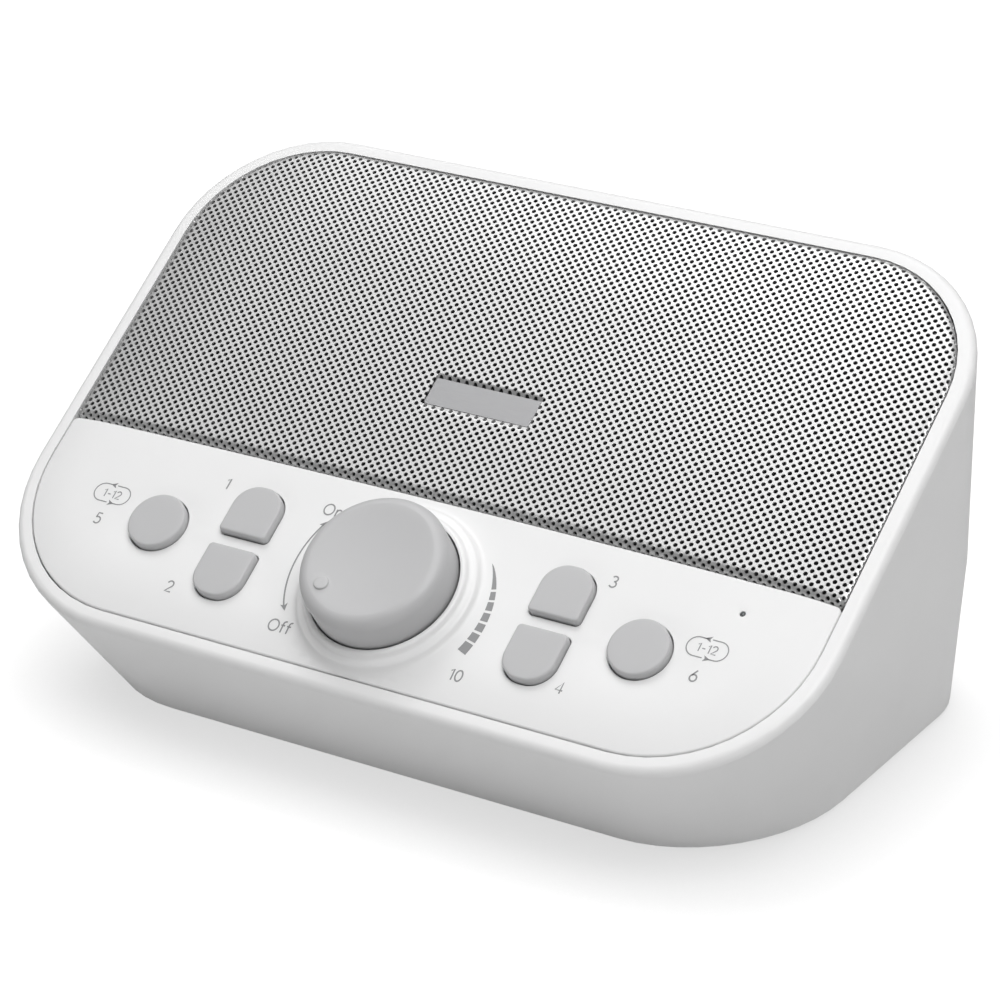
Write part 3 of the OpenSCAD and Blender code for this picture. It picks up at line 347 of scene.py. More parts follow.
def piece(name, points, faces, finish, body, replaces=(), smooth=50):
    """A piece on a body, from points in metres. Edges sharper than smooth, in degrees, stay crisp."""
    mesh = bpy.data.meshes.new(name)
    mesh.from_pydata([tuple(p) for p in points], [], faces)
    mesh.validate()
    made = bpy.data.objects.new(name, mesh)
    bpy.context.scene.collection.objects.link(made)
    mesh.materials.append(finish)
    crisp(made, smooth)
    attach(made, body)
    if replaces:
        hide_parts(*replaces)
    return made


def crisp(made, angle):
    """Smooth shading, apart from the edges that are sharper than an angle in degrees."""
    for polygon in made.data.polygons:
        polygon.use_smooth = True
    made.modifiers.new("crisp edges", "EDGE_SPLIT").split_angle = math.radians(angle)


class Shape:
    """Points and faces on the face's own axes, in millimetres, gathered into one mesh."""

    def __init__(self):
        self.points = []
        self.faces = []

    def add_loop(self, points):
        """Adds points, and gives back their numbers."""
        start = len(self.points)
        self.points.extend(on_face(*p) for p in points)
        return list(range(start, start + len(points)))

    def band(self, low, high):
        """Joins two closed loops of equal length."""
        size = len(low)
        for i in range(size):
            j = (i + 1) % size
            self.faces.append((low[i], low[j], high[j], high[i]))

    def loft(self, rings):
        """Joins closed rings of points one after another, and gives back their loops."""
        loops = [self.add_loop(points) for points in rings]
        for low, high in zip(loops, loops[1:]):
            self.band(low, high)
        return loops

    def rod(self, x, u, d, low, high, steps=32):
        """A closed round bar along the face's normal."""
        turn = ring(x, u, d / 2, steps)
        ends = self.loft([[(*p, low) for p in turn], [(*p, high) for p in turn]])
        self.faces.append(tuple(reversed(ends[0])))
        self.faces.append(tuple(ends[1]))


def ring(x, u, r, steps):
    """A circle of points, without its first point again at the end."""
    turn = [2 * math.pi * i / steps for i in range(steps)]
    return [(x + r * math.cos(t), u + r * math.sin(t)) for t in turn]


def bow(cx, cy, rx, ry, start, end, steps=14):
    """Points along part of an ellipse, from one angle to another in degrees."""
    turn = [math.radians(start + (end - start) * i / steps) for i in range(steps + 1)]
    return [(cx + rx * math.cos(t), cy + ry * math.sin(t)) for t in turn]


def arc(cx, cy, r, start, steps=12):
    """A quarter turn of points from an angle in degrees."""
    return bow(cx, cy, r, r, start, start + 90, steps)


def rounding(r, steps):
    """A rounded edge in steps: the distance from where it starts, and from where it ends."""
    turn = [math.pi / 2 * i / steps for i in range(steps + 1)]
    return [(r * (1 - math.cos(a)), r * (1 - math.sin(a))) for a in turn]


def split(x):
    """The shallow arch between the grille and the panel."""
    return -SPLIT_U - SPLIT_ARCH * (2 * x / FACE_W) ** 2


def button_outline(kind, grow):
    """Outline of a button round its own middle, grown outward all round."""
    if kind == 0:
        return ring(0, 0, ROUND_D / 2 + grow, 96)
    w, high, low = ARCH_W / 2 + grow, ARCH_L / 2 + grow, -ARCH_L / 2 - grow
    big, small = ARCH_R + grow, max(ARCH_R_SMALL + grow, 0.05)
    points = (arc(w - big, high - big, big, 0) + arc(big - w, high - big, big, 90)
              + arc(small - w, low + small, small, 180) + arc(w - small, low + small, small, 270))
    return points if kind > 0 else [(x, -u) for x, u in reversed(points)]


# ---------------------------------------------------------------- control panel


def panel_depth(x, u):
    """Distance inside the face opening's sides and lower end."""
    r = FACE_R_LOW
    across = abs(x) - (FACE_W / 2 - r)
    down = -u - (FACE_L / 2 - r)
    if across > 0 and down > 0:
        return r - math.hypot(across, down)
    return min(FACE_W / 2 - abs(x), u + FACE_L / 2)


def panel_level(x, u):
    """Height of the panel's crowned skin above the rim's level."""
    run = min(max(panel_depth(x, u) / CROWN_RUN, 0), 1)
    return CROWN * (1 - (1 - run) ** 2)


PANEL_R_TOP = 0.9
# Parts that the upper side, a lower corner and the lower side are made of
TOP_STEPS = 60
CORNER_STEPS = 24
LOWER_STEPS = 40
# Two points on each straight side, between the small upper corner and the large lower one
SIDE_U = (-18, -21)


def panel_outline(inset):
    """The panel's edge, from its right upper corner, whose radius is small, all the way round."""
    half, r, small = FACE_W / 2 - inset, FACE_R_LOW - inset, PANEL_R_TOP
    drop = inset - SEAM_GAP
    top = [(half - small) * (1 - 2 * i / TOP_STEPS) for i in range(TOP_STEPS + 1)]
    upper = [(x, split(x) - drop) for x in top]
    right = arc(half - small, split(half - small) - drop - small, small, 0, 6)[:-1]
    left = arc(small - half, split(half - small) - drop - small, small, 90, 6)[1:]
    low = -FACE_L / 2 + inset + r
    down = [(-half, u) for u in SIDE_U]
    up = [(half, u) for u in reversed(SIDE_U)]
    bottom = [((half - r) * (2 * i / LOWER_STEPS - 1), -FACE_L / 2 + inset) for i in range(1, LOWER_STEPS)]
    return (right + upper + left + down + arc(r - half, low, r, 180, CORNER_STEPS) + bottom
            + arc(half - r, low, r, 270, CORNER_STEPS) + up)


# Widths of the gaps round buttons and indicator, and radii of the edges beside them. The gap that shows
# round a button is a little narrower than the solids' gap
OPENING_GAP = BUTTON_GAP - 0.1
OPENING_ROUND = 0.2
LIGHT_GAP = 0.05
LIGHT_ROUND = 0.1
PANEL_ROUND = 0.3
# How far a part reaches into the one that carries it
OVERLAP = 0.01

TURN_STEPS = 144
COLLAR_R = COLLAR_D / 2
# Radius beyond the collar's edge, and height above the skin, of the blend into its two soft steps
COLLAR_PROFILE = (
    (1.0, 0.0), (0.6, 0.03), (0.35, 0.11), (0.15, 0.28), (-0.02, 0.56), (-0.14, 0.84), (-0.26, 1.04),
    (-0.42, 1.17), (-0.65, 1.24), (-1.0, 1.29), (-1.3, 1.34), (-1.5, 1.43), (-1.64, 1.62), (-1.75, 1.88),
    (-1.86, 2.12), (-2.0, 2.28), (-2.2, 2.38), (-2.42, 2.42))
# Radius and level of the well that the knob turns in, and of the hole for the bushing
WELL_R = KNOB_D / 2 + KNOB_GAP
WELL_FLOOR = CROWN - 0.05
BUSHING_R = BUSHING_D / 2 + 0.4
WELL_PROFILE = (
    (WELL_R, COLLAR_TOP - 0.15), (WELL_R, WELL_FLOOR + 0.1), (WELL_R - 0.1, WELL_FLOOR),
    (BUSHING_R, WELL_FLOOR), (BUSHING_R, N_SKIN))

# Middles and radii that the skin's extra points stay clear of, and their distance from its upper edge
KEEP_CLEAR = [(0, KNOB_U, COLLAR_R + 1.4), (LIGHT_X, LIGHT_U, 1)]
KEEP_CLEAR += [(x, u, 7.2) for _, _, x, u, _ in BUTTONS]
KEEP_BELOW = 0.7
SKIN_ROWS = 12


def in_clear(x, u):
    """Whether a place is on the bare skin, away from its upper edge and from all openings."""
    return u < split(x) - KEEP_BELOW and all(math.hypot(x - cx, u - cu) > r for cx, cu, r in KEEP_CLEAR)


def edge_rings(outline, gap, r, n_end):
    """A rounded edge that turns from the skin down into an opening or over the outer edge, and its wall."""
    rings = []
    for down, out in rounding(r, 4):
        rings.append([(x, u, panel_level(x, u) - down) for x, u in outline(gap + out)])
    rings.append([(x, u, n_end) for x, u in outline(gap)])
    return rings


def collar_rings():
    """The collar, its well and the hole for the bushing, from the skin inward."""
    rings = []
    for out, rise in COLLAR_PROFILE:
        blend = min(max(1 - out, 0), 1)
        rings.append([(x, u, panel_level(x, u) * (1 - blend) + CROWN * blend + rise)
                      for x, u in ring(0, KNOB_U, COLLAR_R + out, TURN_STEPS)])
    for r, n in WELL_PROFILE:
        rings.append([(x, u, n) for x, u in ring(0, KNOB_U, r, TURN_STEPS)])
    return rings


def panel_openings():
    """Outline, gap and edge radius of each button's opening and of the indicator's."""
    found = []
    for _, _, px, pu, kind in BUTTONS:
        def outline(grow, px=px, pu=pu, kind=kind):
            return [(px + x, pu + u) for x, u in button_outline(kind, grow)]
        found.append((outline, OPENING_GAP, OPENING_ROUND))
    found.append((lambda grow: ring(LIGHT_X, LIGHT_U, LIGHT_D / 2 + grow, 24), LIGHT_GAP, LIGHT_ROUND))
    return found


def make_panel():
    """The panel's moulding: its crowned skin with all openings, the collar, and what stands behind it."""
    shape = Shape()
    holes = [shape.loft(edge_rings(outline, gap, r, N_SKIN)) for outline, gap, r in panel_openings()]
    outer = shape.loft(edge_rings(panel_outline, SEAM_GAP, PANEL_ROUND, N_SEAT))
    collar = shape.loft(collar_rings())
    # The skin between the openings, with extra points where it curves
    extra = []
    for k in range(1, SKIN_ROWS + 1):
        extra.extend(p for p in panel_outline(CROWN_RUN * k / SKIN_ROWS) if in_clear(*p))
    fill_skin(shape, [outer[0], collar[0]] + [loops[0] for loops in holes], extra, panel_level, True)
    # The skin's rear, and the skirt from its edge down to the seat
    rear = shape.add_loop([(x, u, N_SKIN) for x, u in panel_outline(SEAM_GAP + SKIRT_W)])
    fill_skin(shape, [rear, collar[-1]] + [loops[-1] for loops in holes], [], lambda x, u: N_SKIN, False)
    low = shape.add_loop([(x, u, N_SEAT) for x, u in panel_outline(SEAM_GAP + SKIRT_W)])
    shape.band(outer[-1], low)
    shape.band(low, rear)
    # Bosses for the control board's screws, and pins that are staked into the baffle
    stake_end = 0.1 - INSERT_DEPTH
    for side in (-1, 1):
        for u in (ARCH_U + ARCH_PITCH / 2 + BOSS_ABOVE, ARCH_U - ARCH_PITCH / 2 - BOSS_BELOW):
            shape.rod(side * BOARD_SCREW_X, u, BOARD_BOSS_D, -BOARD_N, N_SKIN + OVERLAP)
        shape.rod(side * ARCH_X, STAKE_IN / 2 - FACE_L / 2, STAKE_D, stake_end, N_SKIN + OVERLAP)
        shape.rod(side * (FACE_W / 2 - STAKE_IN), LIGHT_U, STAKE_D, stake_end, N_SKIN + OVERLAP)
    piece("control_panel_moulding", shape.points, shape.faces, panel_white_abs, "case",
          ["control_panel"], 40)


# Brings a point back to the face's own axes, still in metres
TO_FACE = (Matrix.Translation(on_face(0, 0, 0)) @ Matrix.Rotation(FACE_TILT, 4, "X")).inverted()
# The kind of triangulation that leaves out what lies outside the outer loop, and its tolerance
INSIDE = 2
TOLERANCE = 1e-7


def fill_skin(shape, rims, extra, level, upward):
    """Triangulates the sheet between an outer loop and the loops of its openings, by way of extra points."""
    owners, places, edges = [], [], []
    for rim in rims:
        start = len(places)
        for i, owner in enumerate(rim):
            local = TO_FACE @ shape.points[owner]
            owners.append(owner)
            places.append(Vector((local.x / MM, local.y / MM)))
            edges.append((start + i, start + (i + 1) % len(rim)))
    for x, u in extra:
        owners.append(None)
        places.append(Vector((x, u)))
    made, _, triangles, source, _, _ = delaunay_2d_cdt(places, edges, [], INSIDE, TOLERANCE)
    index = []
    for i, place in enumerate(made):
        known = [owners[k] for k in source[i] if owners[k] is not None]
        if known:
            index.append(known[0])
        else:
            index.extend(shape.add_loop([(place.x, place.y, level(place.x, place.y))]))
    for triangle in triangles:
        middle = sum((made[k] for k in triangle), Vector((0, 0))) / len(triangle)
        if any(in_loop(middle, [places[a] for a in span]) for span in hole_spans(rims)):
            continue
        corners = [index[k] for k in triangle]
        shape.faces.append(tuple(corners if upward else reversed(corners)))


def hole_spans(rims):
    """Index ranges of every loop but the first."""
    spans, start = [], 0
    for rim in rims:
        spans.append(range(start, start + len(rim)))
        start += len(rim)
    return spans[1:]


def in_loop(point, loop):
    """Whether a point lies inside a closed loop of points."""
    inside = False
    for i, a in enumerate(loop):
        b = loop[i - 1]
        if (a.y > point.y) != (b.y > point.y):
            if point.x < (b.x - a.x) * (point.y - a.y) / (b.y - a.y) + a.x:
                inside = not inside
    return inside


make_panel()

# ---------------------------------------------------------------- buttons and knob

# Radius of a cap's upper edge, and how far in and how high two rings lie that swell its top
BUTTON_ROUND = 0.4
BUTTON_SWELL = ((0.8, 0.008), (2.0, 0.014))
# Level of the lip behind the skin, and its broken edge
N_LIP = N_SKIN - 0.3
LIP_EDGE = 0.15


def make_button(name, body, px, pu, kind):
    """A keycap: a lip behind the panel, straight sides, and a softly rounded upper edge."""
    shape = Shape()
    top = CROWN + BUTTON_RISE
    levels = [(LIP_W - LIP_EDGE, N_LIP - LIP_T), (LIP_W, N_LIP - LIP_T + LIP_EDGE), (LIP_W, N_LIP - LIP_EDGE),
              (LIP_W - LIP_EDGE, N_LIP), (0, N_LIP)]
    levels += [(-inward, top - down) for inward, down in rounding(BUTTON_ROUND, 6)]
    levels += [(-BUTTON_ROUND - inward, top + rise) for inward, rise in BUTTON_SWELL]
    loops = shape.loft([[(px + x, pu + u, n) for x, u in button_outline(kind, grow)] for grow, n in levels])
    shape.faces.append(tuple(reversed(loops[0])))
    shape.faces.append(tuple(loops[-1]))
    shape.rod(px, pu, STEM_D, N_SWITCH + PLUNGER_RISE, N_LIP - LIP_T + OVERLAP)
    piece(name + "_cap", shape.points, shape.faces, keycap_grey_abs, body, [name])


for row in BUTTONS:
    make_button(*row)

# The knob's inside: the hole for the shaft, the hub round it, the roof, the bevel between roof and wall,
# and the wall's broken lower edge
SHAFT_FIT = 0.05
HOLE_END = 0.3
HUB_UP = 0.2
HUB_WALL = 1.8
ROOF_T = 1.9
ROOF_BEVEL = 1
KNOB_EDGE = 0.15
# Radius beyond the pip's edge, and height above the dish: a small fillet, steep sides and a rounded top
PIP_PROFILE = (
    (0.12, 0), (0.04, 0.03), (0, 0.1), (0, 0.2), (-0.04, 0.28), (-0.12, 0.33), (-0.25, 0.35), (-0.6, 0.37))
# Rings of points in the dished top, and how far they stay from the pip
TOP_ROWS = 12
PIP_CLEAR = 0.4


def make_knob():
    """A deep round knob: straight side, rounded shoulder, shallow dished top and one raised pip."""
    shape = Shape()
    r, bore = KNOB_D / 2, SHAFT_D / 2 + SHAFT_FIT
    hub, roof = SHAFT_D / 2 + HUB_WALL, KNOB_TOP - ROOF_T
    edge = r - KNOB_ROUND
    ball = (edge ** 2 + KNOB_DISH ** 2) / (2 * KNOB_DISH)

    def dish_level(x, u):
        far = min(math.hypot(x, u - KNOB_U), edge)
        return KNOB_TOP - KNOB_DISH + ball - math.sqrt(ball ** 2 - far ** 2)

    profile = [(bore, roof - HOLE_END), (bore, KNOB_FLOOR + HUB_UP), (hub, KNOB_FLOOR + HUB_UP), (hub, roof),
               (r - KNOB_WALL - ROOF_BEVEL, roof), (r - KNOB_WALL, roof - ROOF_BEVEL),
               (r - KNOB_WALL, KNOB_FLOOR), (r - KNOB_EDGE, KNOB_FLOOR), (r, KNOB_FLOOR + KNOB_EDGE)]
    profile += [(r - inward, KNOB_TOP - down) for inward, down in rounding(KNOB_ROUND, 14)]
    loops = shape.loft([[(x, u, n) for x, u in ring(0, KNOB_U, radius, TURN_STEPS)] for radius, n in profile])
    shape.faces.append(tuple(loops[0]))
    px, pu = PIP_R * math.cos(PIP_ANGLE), KNOB_U + PIP_R * math.sin(PIP_ANGLE)
    pip = shape.loft([[(x, u, dish_level(x, u) + rise) for x, u in ring(px, pu, PIP_D / 2 + out, 40)]
                      for out, rise in PIP_PROFILE])
    shape.faces.append(tuple(pip[-1]))
    inner = [p for k in range(1, TOP_ROWS) for p in ring(0, KNOB_U, edge * k / TOP_ROWS, 48)]
    clear_of_pip = [p for p in inner if math.hypot(p[0] - px, p[1] - pu) > PIP_D / 2 + PIP_CLEAR]
    fill_skin(shape, [loops[-1], pip[0]], clear_of_pip, dish_level, True)
    piece("volume_knob_cap", shape.points, shape.faces, knob_grey_abs, "knob", ["volume_knob"])


make_knob()

# ---------------------------------------------------------------- grille

# The fine perforation: radius of a hole, and half the distance between two holes of a row, across and up
HOLE_R = 0.41
HOLE_X = 0.845
HOLE_U = 0.7575
# Metal that stays between a hole and the sheet's edge, and the least part of a cell that is kept
HOLE_MARGIN = 0.25
CELL_PART = 0.02
# Where the rows start, below the joint between grille and panel, and the cells added beyond the other sides
ROWS_LOW = -20
CELLS_MORE = 4
SHEET_T = 0.3
# How far in from the edge the sheet swells, and how deep its outer edge rolls down
SWELL_RUN = 20
EDGE_DROP = 0.5
# The line that the edges are folded along, and the width of what lies beyond it on the flat blank: the roll
# and a short wall
FLANGE_L = 0.7
FOLD_W = FACE_W / 2 - SEAM_GAP - GRILLE_ROLL
FOLD_TOP = FACE_L / 2 - SEAM_GAP - GRILLE_ROLL
FOLD_R = FACE_R_TOP - SEAM_GAP - GRILLE_ROLL
SHEET_EDGE = GRILLE_ROLL * math.pi / 2 + FLANGE_L
# The dish round the nameplate: its flat floor beyond the plate, how far its slopes reach above and below,
# and the share of its depth that the slope below starts with
DISH_FLOOR = 0.1
DISH_HIGH = 0.7
DISH_LOW = 0.9
DISH_RAMP = 0.6
# How far round the plate the cells get edges along the dish's creases
CREASE_REACH = 2


def fold_low(x):
    """The fold line along the joint between grille and panel."""
    return split(x) + SEAM_GAP + GRILLE_ROLL


def outer_depth(x, u):
    """Distance inside the fold line at the grille's sides and upper end."""
    qx, qu = abs(x) - (FOLD_W - FOLD_R), u - (FOLD_TOP - FOLD_R)
    if qx > 0 and qu > 0:
        return FOLD_R - math.hypot(qx, qu)
    return min(FOLD_W - abs(x), FOLD_TOP - u)


def sheet_level(x, u):
    """Height of the swelling sheet above the rim's level."""
    run = min(max(outer_depth(x, u) / SWELL_RUN, 0), 1)
    return N_FIELD - CROWN + CROWN * (1 - (1 - run) ** 2)


def dish_drop(x, u):
    """Depth of the dish round the nameplate: steep at its sides, sloping above, and a low ramp below it."""
    side = (abs(x + PLATE_LEFT) - PLATE_W / 2 - DISH_FLOOR) / DISH_FLOOR
    high = (u - PLATE_U - PLATE_H / 2 - DISH_FLOOR) / (DISH_HIGH - DISH_FLOOR)
    below = PLATE_U - PLATE_H / 2 - u
    low = min((below - DISH_FLOOR / 2) / (DISH_FLOOR / 2), 1) * DISH_RAMP
    low += max(below - DISH_FLOOR, 0) / (DISH_LOW - DISH_FLOOR) * (1 - DISH_RAMP)
    return PLATE_DIP * (1 - min(max(side, high, low, 0), 1))


def beyond_fold(x, u):
    """How far a point of the flat blank lies beyond the fold line, and in which direction."""
    qx, qu = abs(x) - (FOLD_W - FOLD_R), u - (FOLD_TOP - FOLD_R)
    if qx > 0 and qu > 0:
        far = math.hypot(qx, qu)
        return far - FOLD_R, (math.copysign(qx, x) / far, qu / far)
    side, up, low = abs(x) - FOLD_W, u - FOLD_TOP, fold_low(x) - u
    vx, vu = max(side, 0), max(up, 0) - max(low, 0)
    far = math.hypot(vx, vu)
    if far > 0:
        return far, (math.copysign(vx, x) / far, vu / far)
    return max(side, up, low), (0, 0)


def on_sheet(x, u):
    """Bends the flat blank: the field, its rolled edge, and the short wall below it."""
    out, (ax, au) = beyond_fold(x, u)
    if out <= 0:
        return x, u, sheet_level(x, u) - dish_drop(x, u)
    qx, qu = x - ax * out, u - au * out
    a = min(out / GRILLE_ROLL, math.pi / 2)
    depth = EDGE_DROP + (GRILLE_ROLL - EDGE_DROP) * max(-au, 0)
    drop = depth * (1 - math.cos(a)) + max(out - GRILLE_ROLL * math.pi / 2, 0)
    reach = GRILLE_ROLL * math.sin(a)
    return qx + ax * reach, qu + au * reach, sheet_level(qx, qu) - drop


def pull_in(x, u):
    """Brings a point beyond the blank's edge back to that edge."""
    out, (ax, au) = beyond_fold(x, u)
    over = out - SHEET_EDGE
    return (x - ax * over, u - au * over) if over > 0 else (x, u)


def make_grille():
    """Perforated sheet: staggered holes in diamond cells, dished round the plate and bent down all round."""
    blank = bmesh.new()
    known = {}

    def corner(a, b):
        if (a, b) not in known:
            known[a, b] = blank.verts.new((*pull_in(a * HOLE_X, b * HOLE_U), 0))
        return known[a, b]

    columns = int(FACE_W / 2 / HOLE_X) + CELLS_MORE
    first, last = int(ROWS_LOW / HOLE_U), int(FACE_L / 2 / HOLE_U) + CELLS_MORE
    for b in range(first, last):
        for a in range(-columns, columns + 1):
            if (a + b) % 2:
                continue
            x, u = a * HOLE_X, b * HOLE_U
            ends = ((a + 1, b), (a, b + 1), (a - 1, b), (a, b - 1))
            outs = [beyond_fold(p * HOLE_X, q * HOLE_U)[0] - SHEET_EDGE for p, q in ends]
            if min(outs) > -CELL_PART:
                continue
            corners = [corner(p, q) for p, q in ends]
            middle = beyond_fold(x, u)[0] - SHEET_EDGE
            if middle > -HOLE_R - HOLE_MARGIN or near_plate(x, u, 0):
                blank.faces.new(corners)
                continue
            rim = [blank.verts.new((*p, 0)) for p in ring(x, u, HOLE_R, 8)]
            for k in range(4):
                inner = [rim[(2 * k + i) % 8] for i in (2, 1, 0)]
                blank.faces.new((corners[k], corners[(k + 1) % 4], *inner))
    cut_dish_lines(blank)
    for spot in blank.verts:
        spot.co = on_face(*on_sheet(spot.co.x, spot.co.y))
    made = piece("perforated_grille", [], [], silver_lacquered_steel, "case", ["grille"], 60)
    blank.to_mesh(made.data)
    blank.free()
    made.modifiers.clear()
    weld = made.modifiers.new("weld", "WELD")
    weld.merge_threshold = 0.01 * MM
    sheet = made.modifiers.new("sheet", "SOLIDIFY")
    sheet.thickness = SHEET_T * MM
    sheet.offset = -1
    crisp(made, 60)


def cut_dish_lines(blank):
    """Gives the cells round the nameplate an edge along each crease of the dish."""
    creases = []
    for out in (DISH_FLOOR, 2 * DISH_FLOOR):
        creases += [((-PLATE_LEFT - PLATE_W / 2 - out, 0, 0), (1, 0, 0)),
                    ((PLATE_W / 2 - PLATE_LEFT + out, 0, 0), (1, 0, 0))]
    for out in (DISH_FLOOR, DISH_HIGH):
        creases.append(((0, PLATE_U + PLATE_H / 2 + out, 0), (0, 1, 0)))
    for out in (DISH_FLOOR / 2, DISH_FLOOR, DISH_LOW):
        creases.append(((0, PLATE_U - PLATE_H / 2 - out, 0), (0, 1, 0)))
    for place, across in creases:
        near = [f for f in blank.faces if near_plate(*f.calc_center_median().xy, CREASE_REACH)]
        parts = set(near)
        for face in near:
            parts.update(face.edges)
            parts.update(face.verts)
        bmesh.ops.bisect_plane(blank, geom=list(parts), dist=1e-5, plane_co=place, plane_no=across)


def near_plate(x, u, reach):
    """Whether a place is under the nameplate or within reach of it."""
    return abs(x + PLATE_LEFT) < PLATE_W / 2 + reach and abs(u - PLATE_U) < PLATE_H / 2 + reach


make_grille()

# ---------------------------------------------------------------- printed marks

# Widths of the printed lines, and their height above the panel
INK_W = 0.27
ARC_W = 0.28
THIN_W = 0.2
INK_LIFT = 0.03

# Single-line letters and figures, one unit high. Each has its width and its strokes
GLYPHS = {
    "0": (0.66, [bow(0.33, 0.5, 0.3, 0.48, 90, 450, 24)]),
    "1": (0.42, [[(0.06, 0.78), (0.3, 0.98), (0.3, 0)]]),
    "2": (0.62, [bow(0.3, 0.7, 0.27, 0.28, 165, -35) + [(0.04, 0.02), (0.6, 0.02)]]),
    "3": (0.6, [bow(0.28, 0.75, 0.24, 0.23, 150, -90), bow(0.28, 0.26, 0.28, 0.26, 90, -150)]),
    "4": (0.66, [[(0.46, 0), (0.46, 0.98), (0.03, 0.28), (0.64, 0.28)]]),
    "5": (0.6, [[(0.52, 0.98), (0.14, 0.98), (0.08, 0.55)] + bow(0.28, 0.31, 0.29, 0.31, 125, -145)]),
    "6": (0.62, [[(0.44, 0.98), (0.1, 0.48)], bow(0.31, 0.3, 0.28, 0.29, 0, 360, 24)]),
    "-": (0.5, [[(0.08, 0.42), (0.44, 0.42)]]),
    "O": (1.0, [bow(0.48, 0.49, 0.45, 0.49, 90, 450, 28)]),
    "n": (0.66, [[(0.08, 0.66), (0.08, 0)],
                 [(0.08, 0.36)] + bow(0.32, 0.4, 0.22, 0.26, 160, 0) + [(0.54, 0)]]),
    "f": (0.42, [[(0.16, 0), (0.16, 0.78)] + bow(0.36, 0.78, 0.2, 0.22, 180, 75),
                 [(0.0, 0.64), (0.36, 0.64)]]),
}
GLYPH_GAP = 0.12


class Ink:
    """Flat strokes and patches printed on the panel, following its crown."""

    def __init__(self):
        self.points = []
        self.faces = []

    def spot(self, x, u):
        """Adds a point on the panel, and gives back its number."""
        self.points.append(on_face(x, u, panel_level(x, u) + INK_LIFT))
        return len(self.points) - 1

    def patch(self, corners):
        """Fills the area between a few corners."""
        self.faces.append(tuple(self.spot(*p) for p in corners))

    def stroke(self, line, width=INK_W):
        """A ribbon of even width along a line of points."""
        sides = []
        for i, p in enumerate(line):
            a, b = line[max(i - 1, 0)], line[min(i + 1, len(line) - 1)]
            d = math.hypot(b[0] - a[0], b[1] - a[1]) or 1
            nx, nu = -(b[1] - a[1]) / d * width / 2, (b[0] - a[0]) / d * width / 2
            sides.append((self.spot(p[0] + nx, p[1] + nu), self.spot(p[0] - nx, p[1] - nu)))
        for (a, b), (c, d) in zip(sides, sides[1:]):
            self.faces.append((b, d, c, a))

    def word(self, text, x, u, height, width=INK_W):
        """Text centred on a place, as single-line strokes."""
        span = sum(GLYPHS[c][0] + GLYPH_GAP for c in text) - GLYPH_GAP
        pen = x - span * height / 2
        for c in text:
            for line in GLYPHS[c][1]:
                self.stroke([(pen + a * height, u + (b - 0.5) * height) for a, b in line], width)
            pen += (GLYPHS[c][0] + GLYPH_GAP) * height

    def arrow(self, x, u, angle, size):
        """A filled arrowhead whose tip points along an angle in degrees."""
        t = math.radians(angle)
        c, s = math.cos(t), math.sin(t)
        shape = [(0.6, 0), (-0.5, 0.5), (-0.25, 0), (-0.5, -0.5)]
        tip = [(x + size * (a * c - b * s), u + size * (a * s + b * c)) for a, b in shape]
        self.patch([tip[0], tip[1], tip[2]])
        self.patch([tip[0], tip[2], tip[3]])


# Each word or number with its place across and up the face, and its height
WORDS = (
    ("On", -16.9, -21.0, 2.1), ("Off", -15.2, -43.9, 2.1), ("10", 18.9, -44.0, 2.0),
    ("1", -38.4, -21.0, 2.1), ("2", -38.4, -42.2, 2.1), ("3", 36.9, -21.0, 2.1), ("4", 36.9, -41.4, 2.1),
    ("5", -58.5, -33.4, 2.1), ("6", 57.2, -33.4, 2.1))
# The arc between On and Off, with an arrowhead at each end: place, direction in degrees and size
SWITCH_ARC = bow(-0.2, -31.2, 18.55, 18.55, 157, 209, 40)
SWITCH_ARROWS = ((-17.2, -23.9, 62, 1.3), (-16.2, -40.4, -58, 1.3))
# The volume scale turns round a place a little below the knob's middle, from an angle in degrees on. Its
# inner edge is an arc, and its width grows along the scale, by a power of the way
SCALE_U = -33.2
SCALE_R = 18.15
SCALE_START = 33.4
SCALE_TURN = 53.7
SCALE_W = 1.85
SCALE_POWER = 0.65
# The scale's wedge and six blocks, each with the angles of its ends
SCALE_PARTS = (
    (33.4, 17.2), (15.8, 11.0), (9.8, 4.8), (3.4, -1.4), (-2.8, -7.3), (-8.7, -13.4), (-14.6, -20.6))
SCALE_STEPS = 10
# The loops beside the round buttons: their places across, half their width and height, and the sizes of
# their arrowheads and of the numbers inside them
LOOPS_X = (-58.5, 57.2)
LOOP_U = -28.35
LOOP_W = 3.6
LOOP_H = 1.75
LOOP_ARROW = 1.1
LOOP_TEXT = 1.55


def scale_at(angle):
    """The inner and the outer edge of the volume scale at an angle in degrees."""
    t = math.radians(angle)
    grow = SCALE_W * max((SCALE_START - angle) / SCALE_TURN, 0) ** SCALE_POWER
    return [(r * math.cos(t), SCALE_U + r * math.sin(t)) for r in (SCALE_R, SCALE_R + grow)]


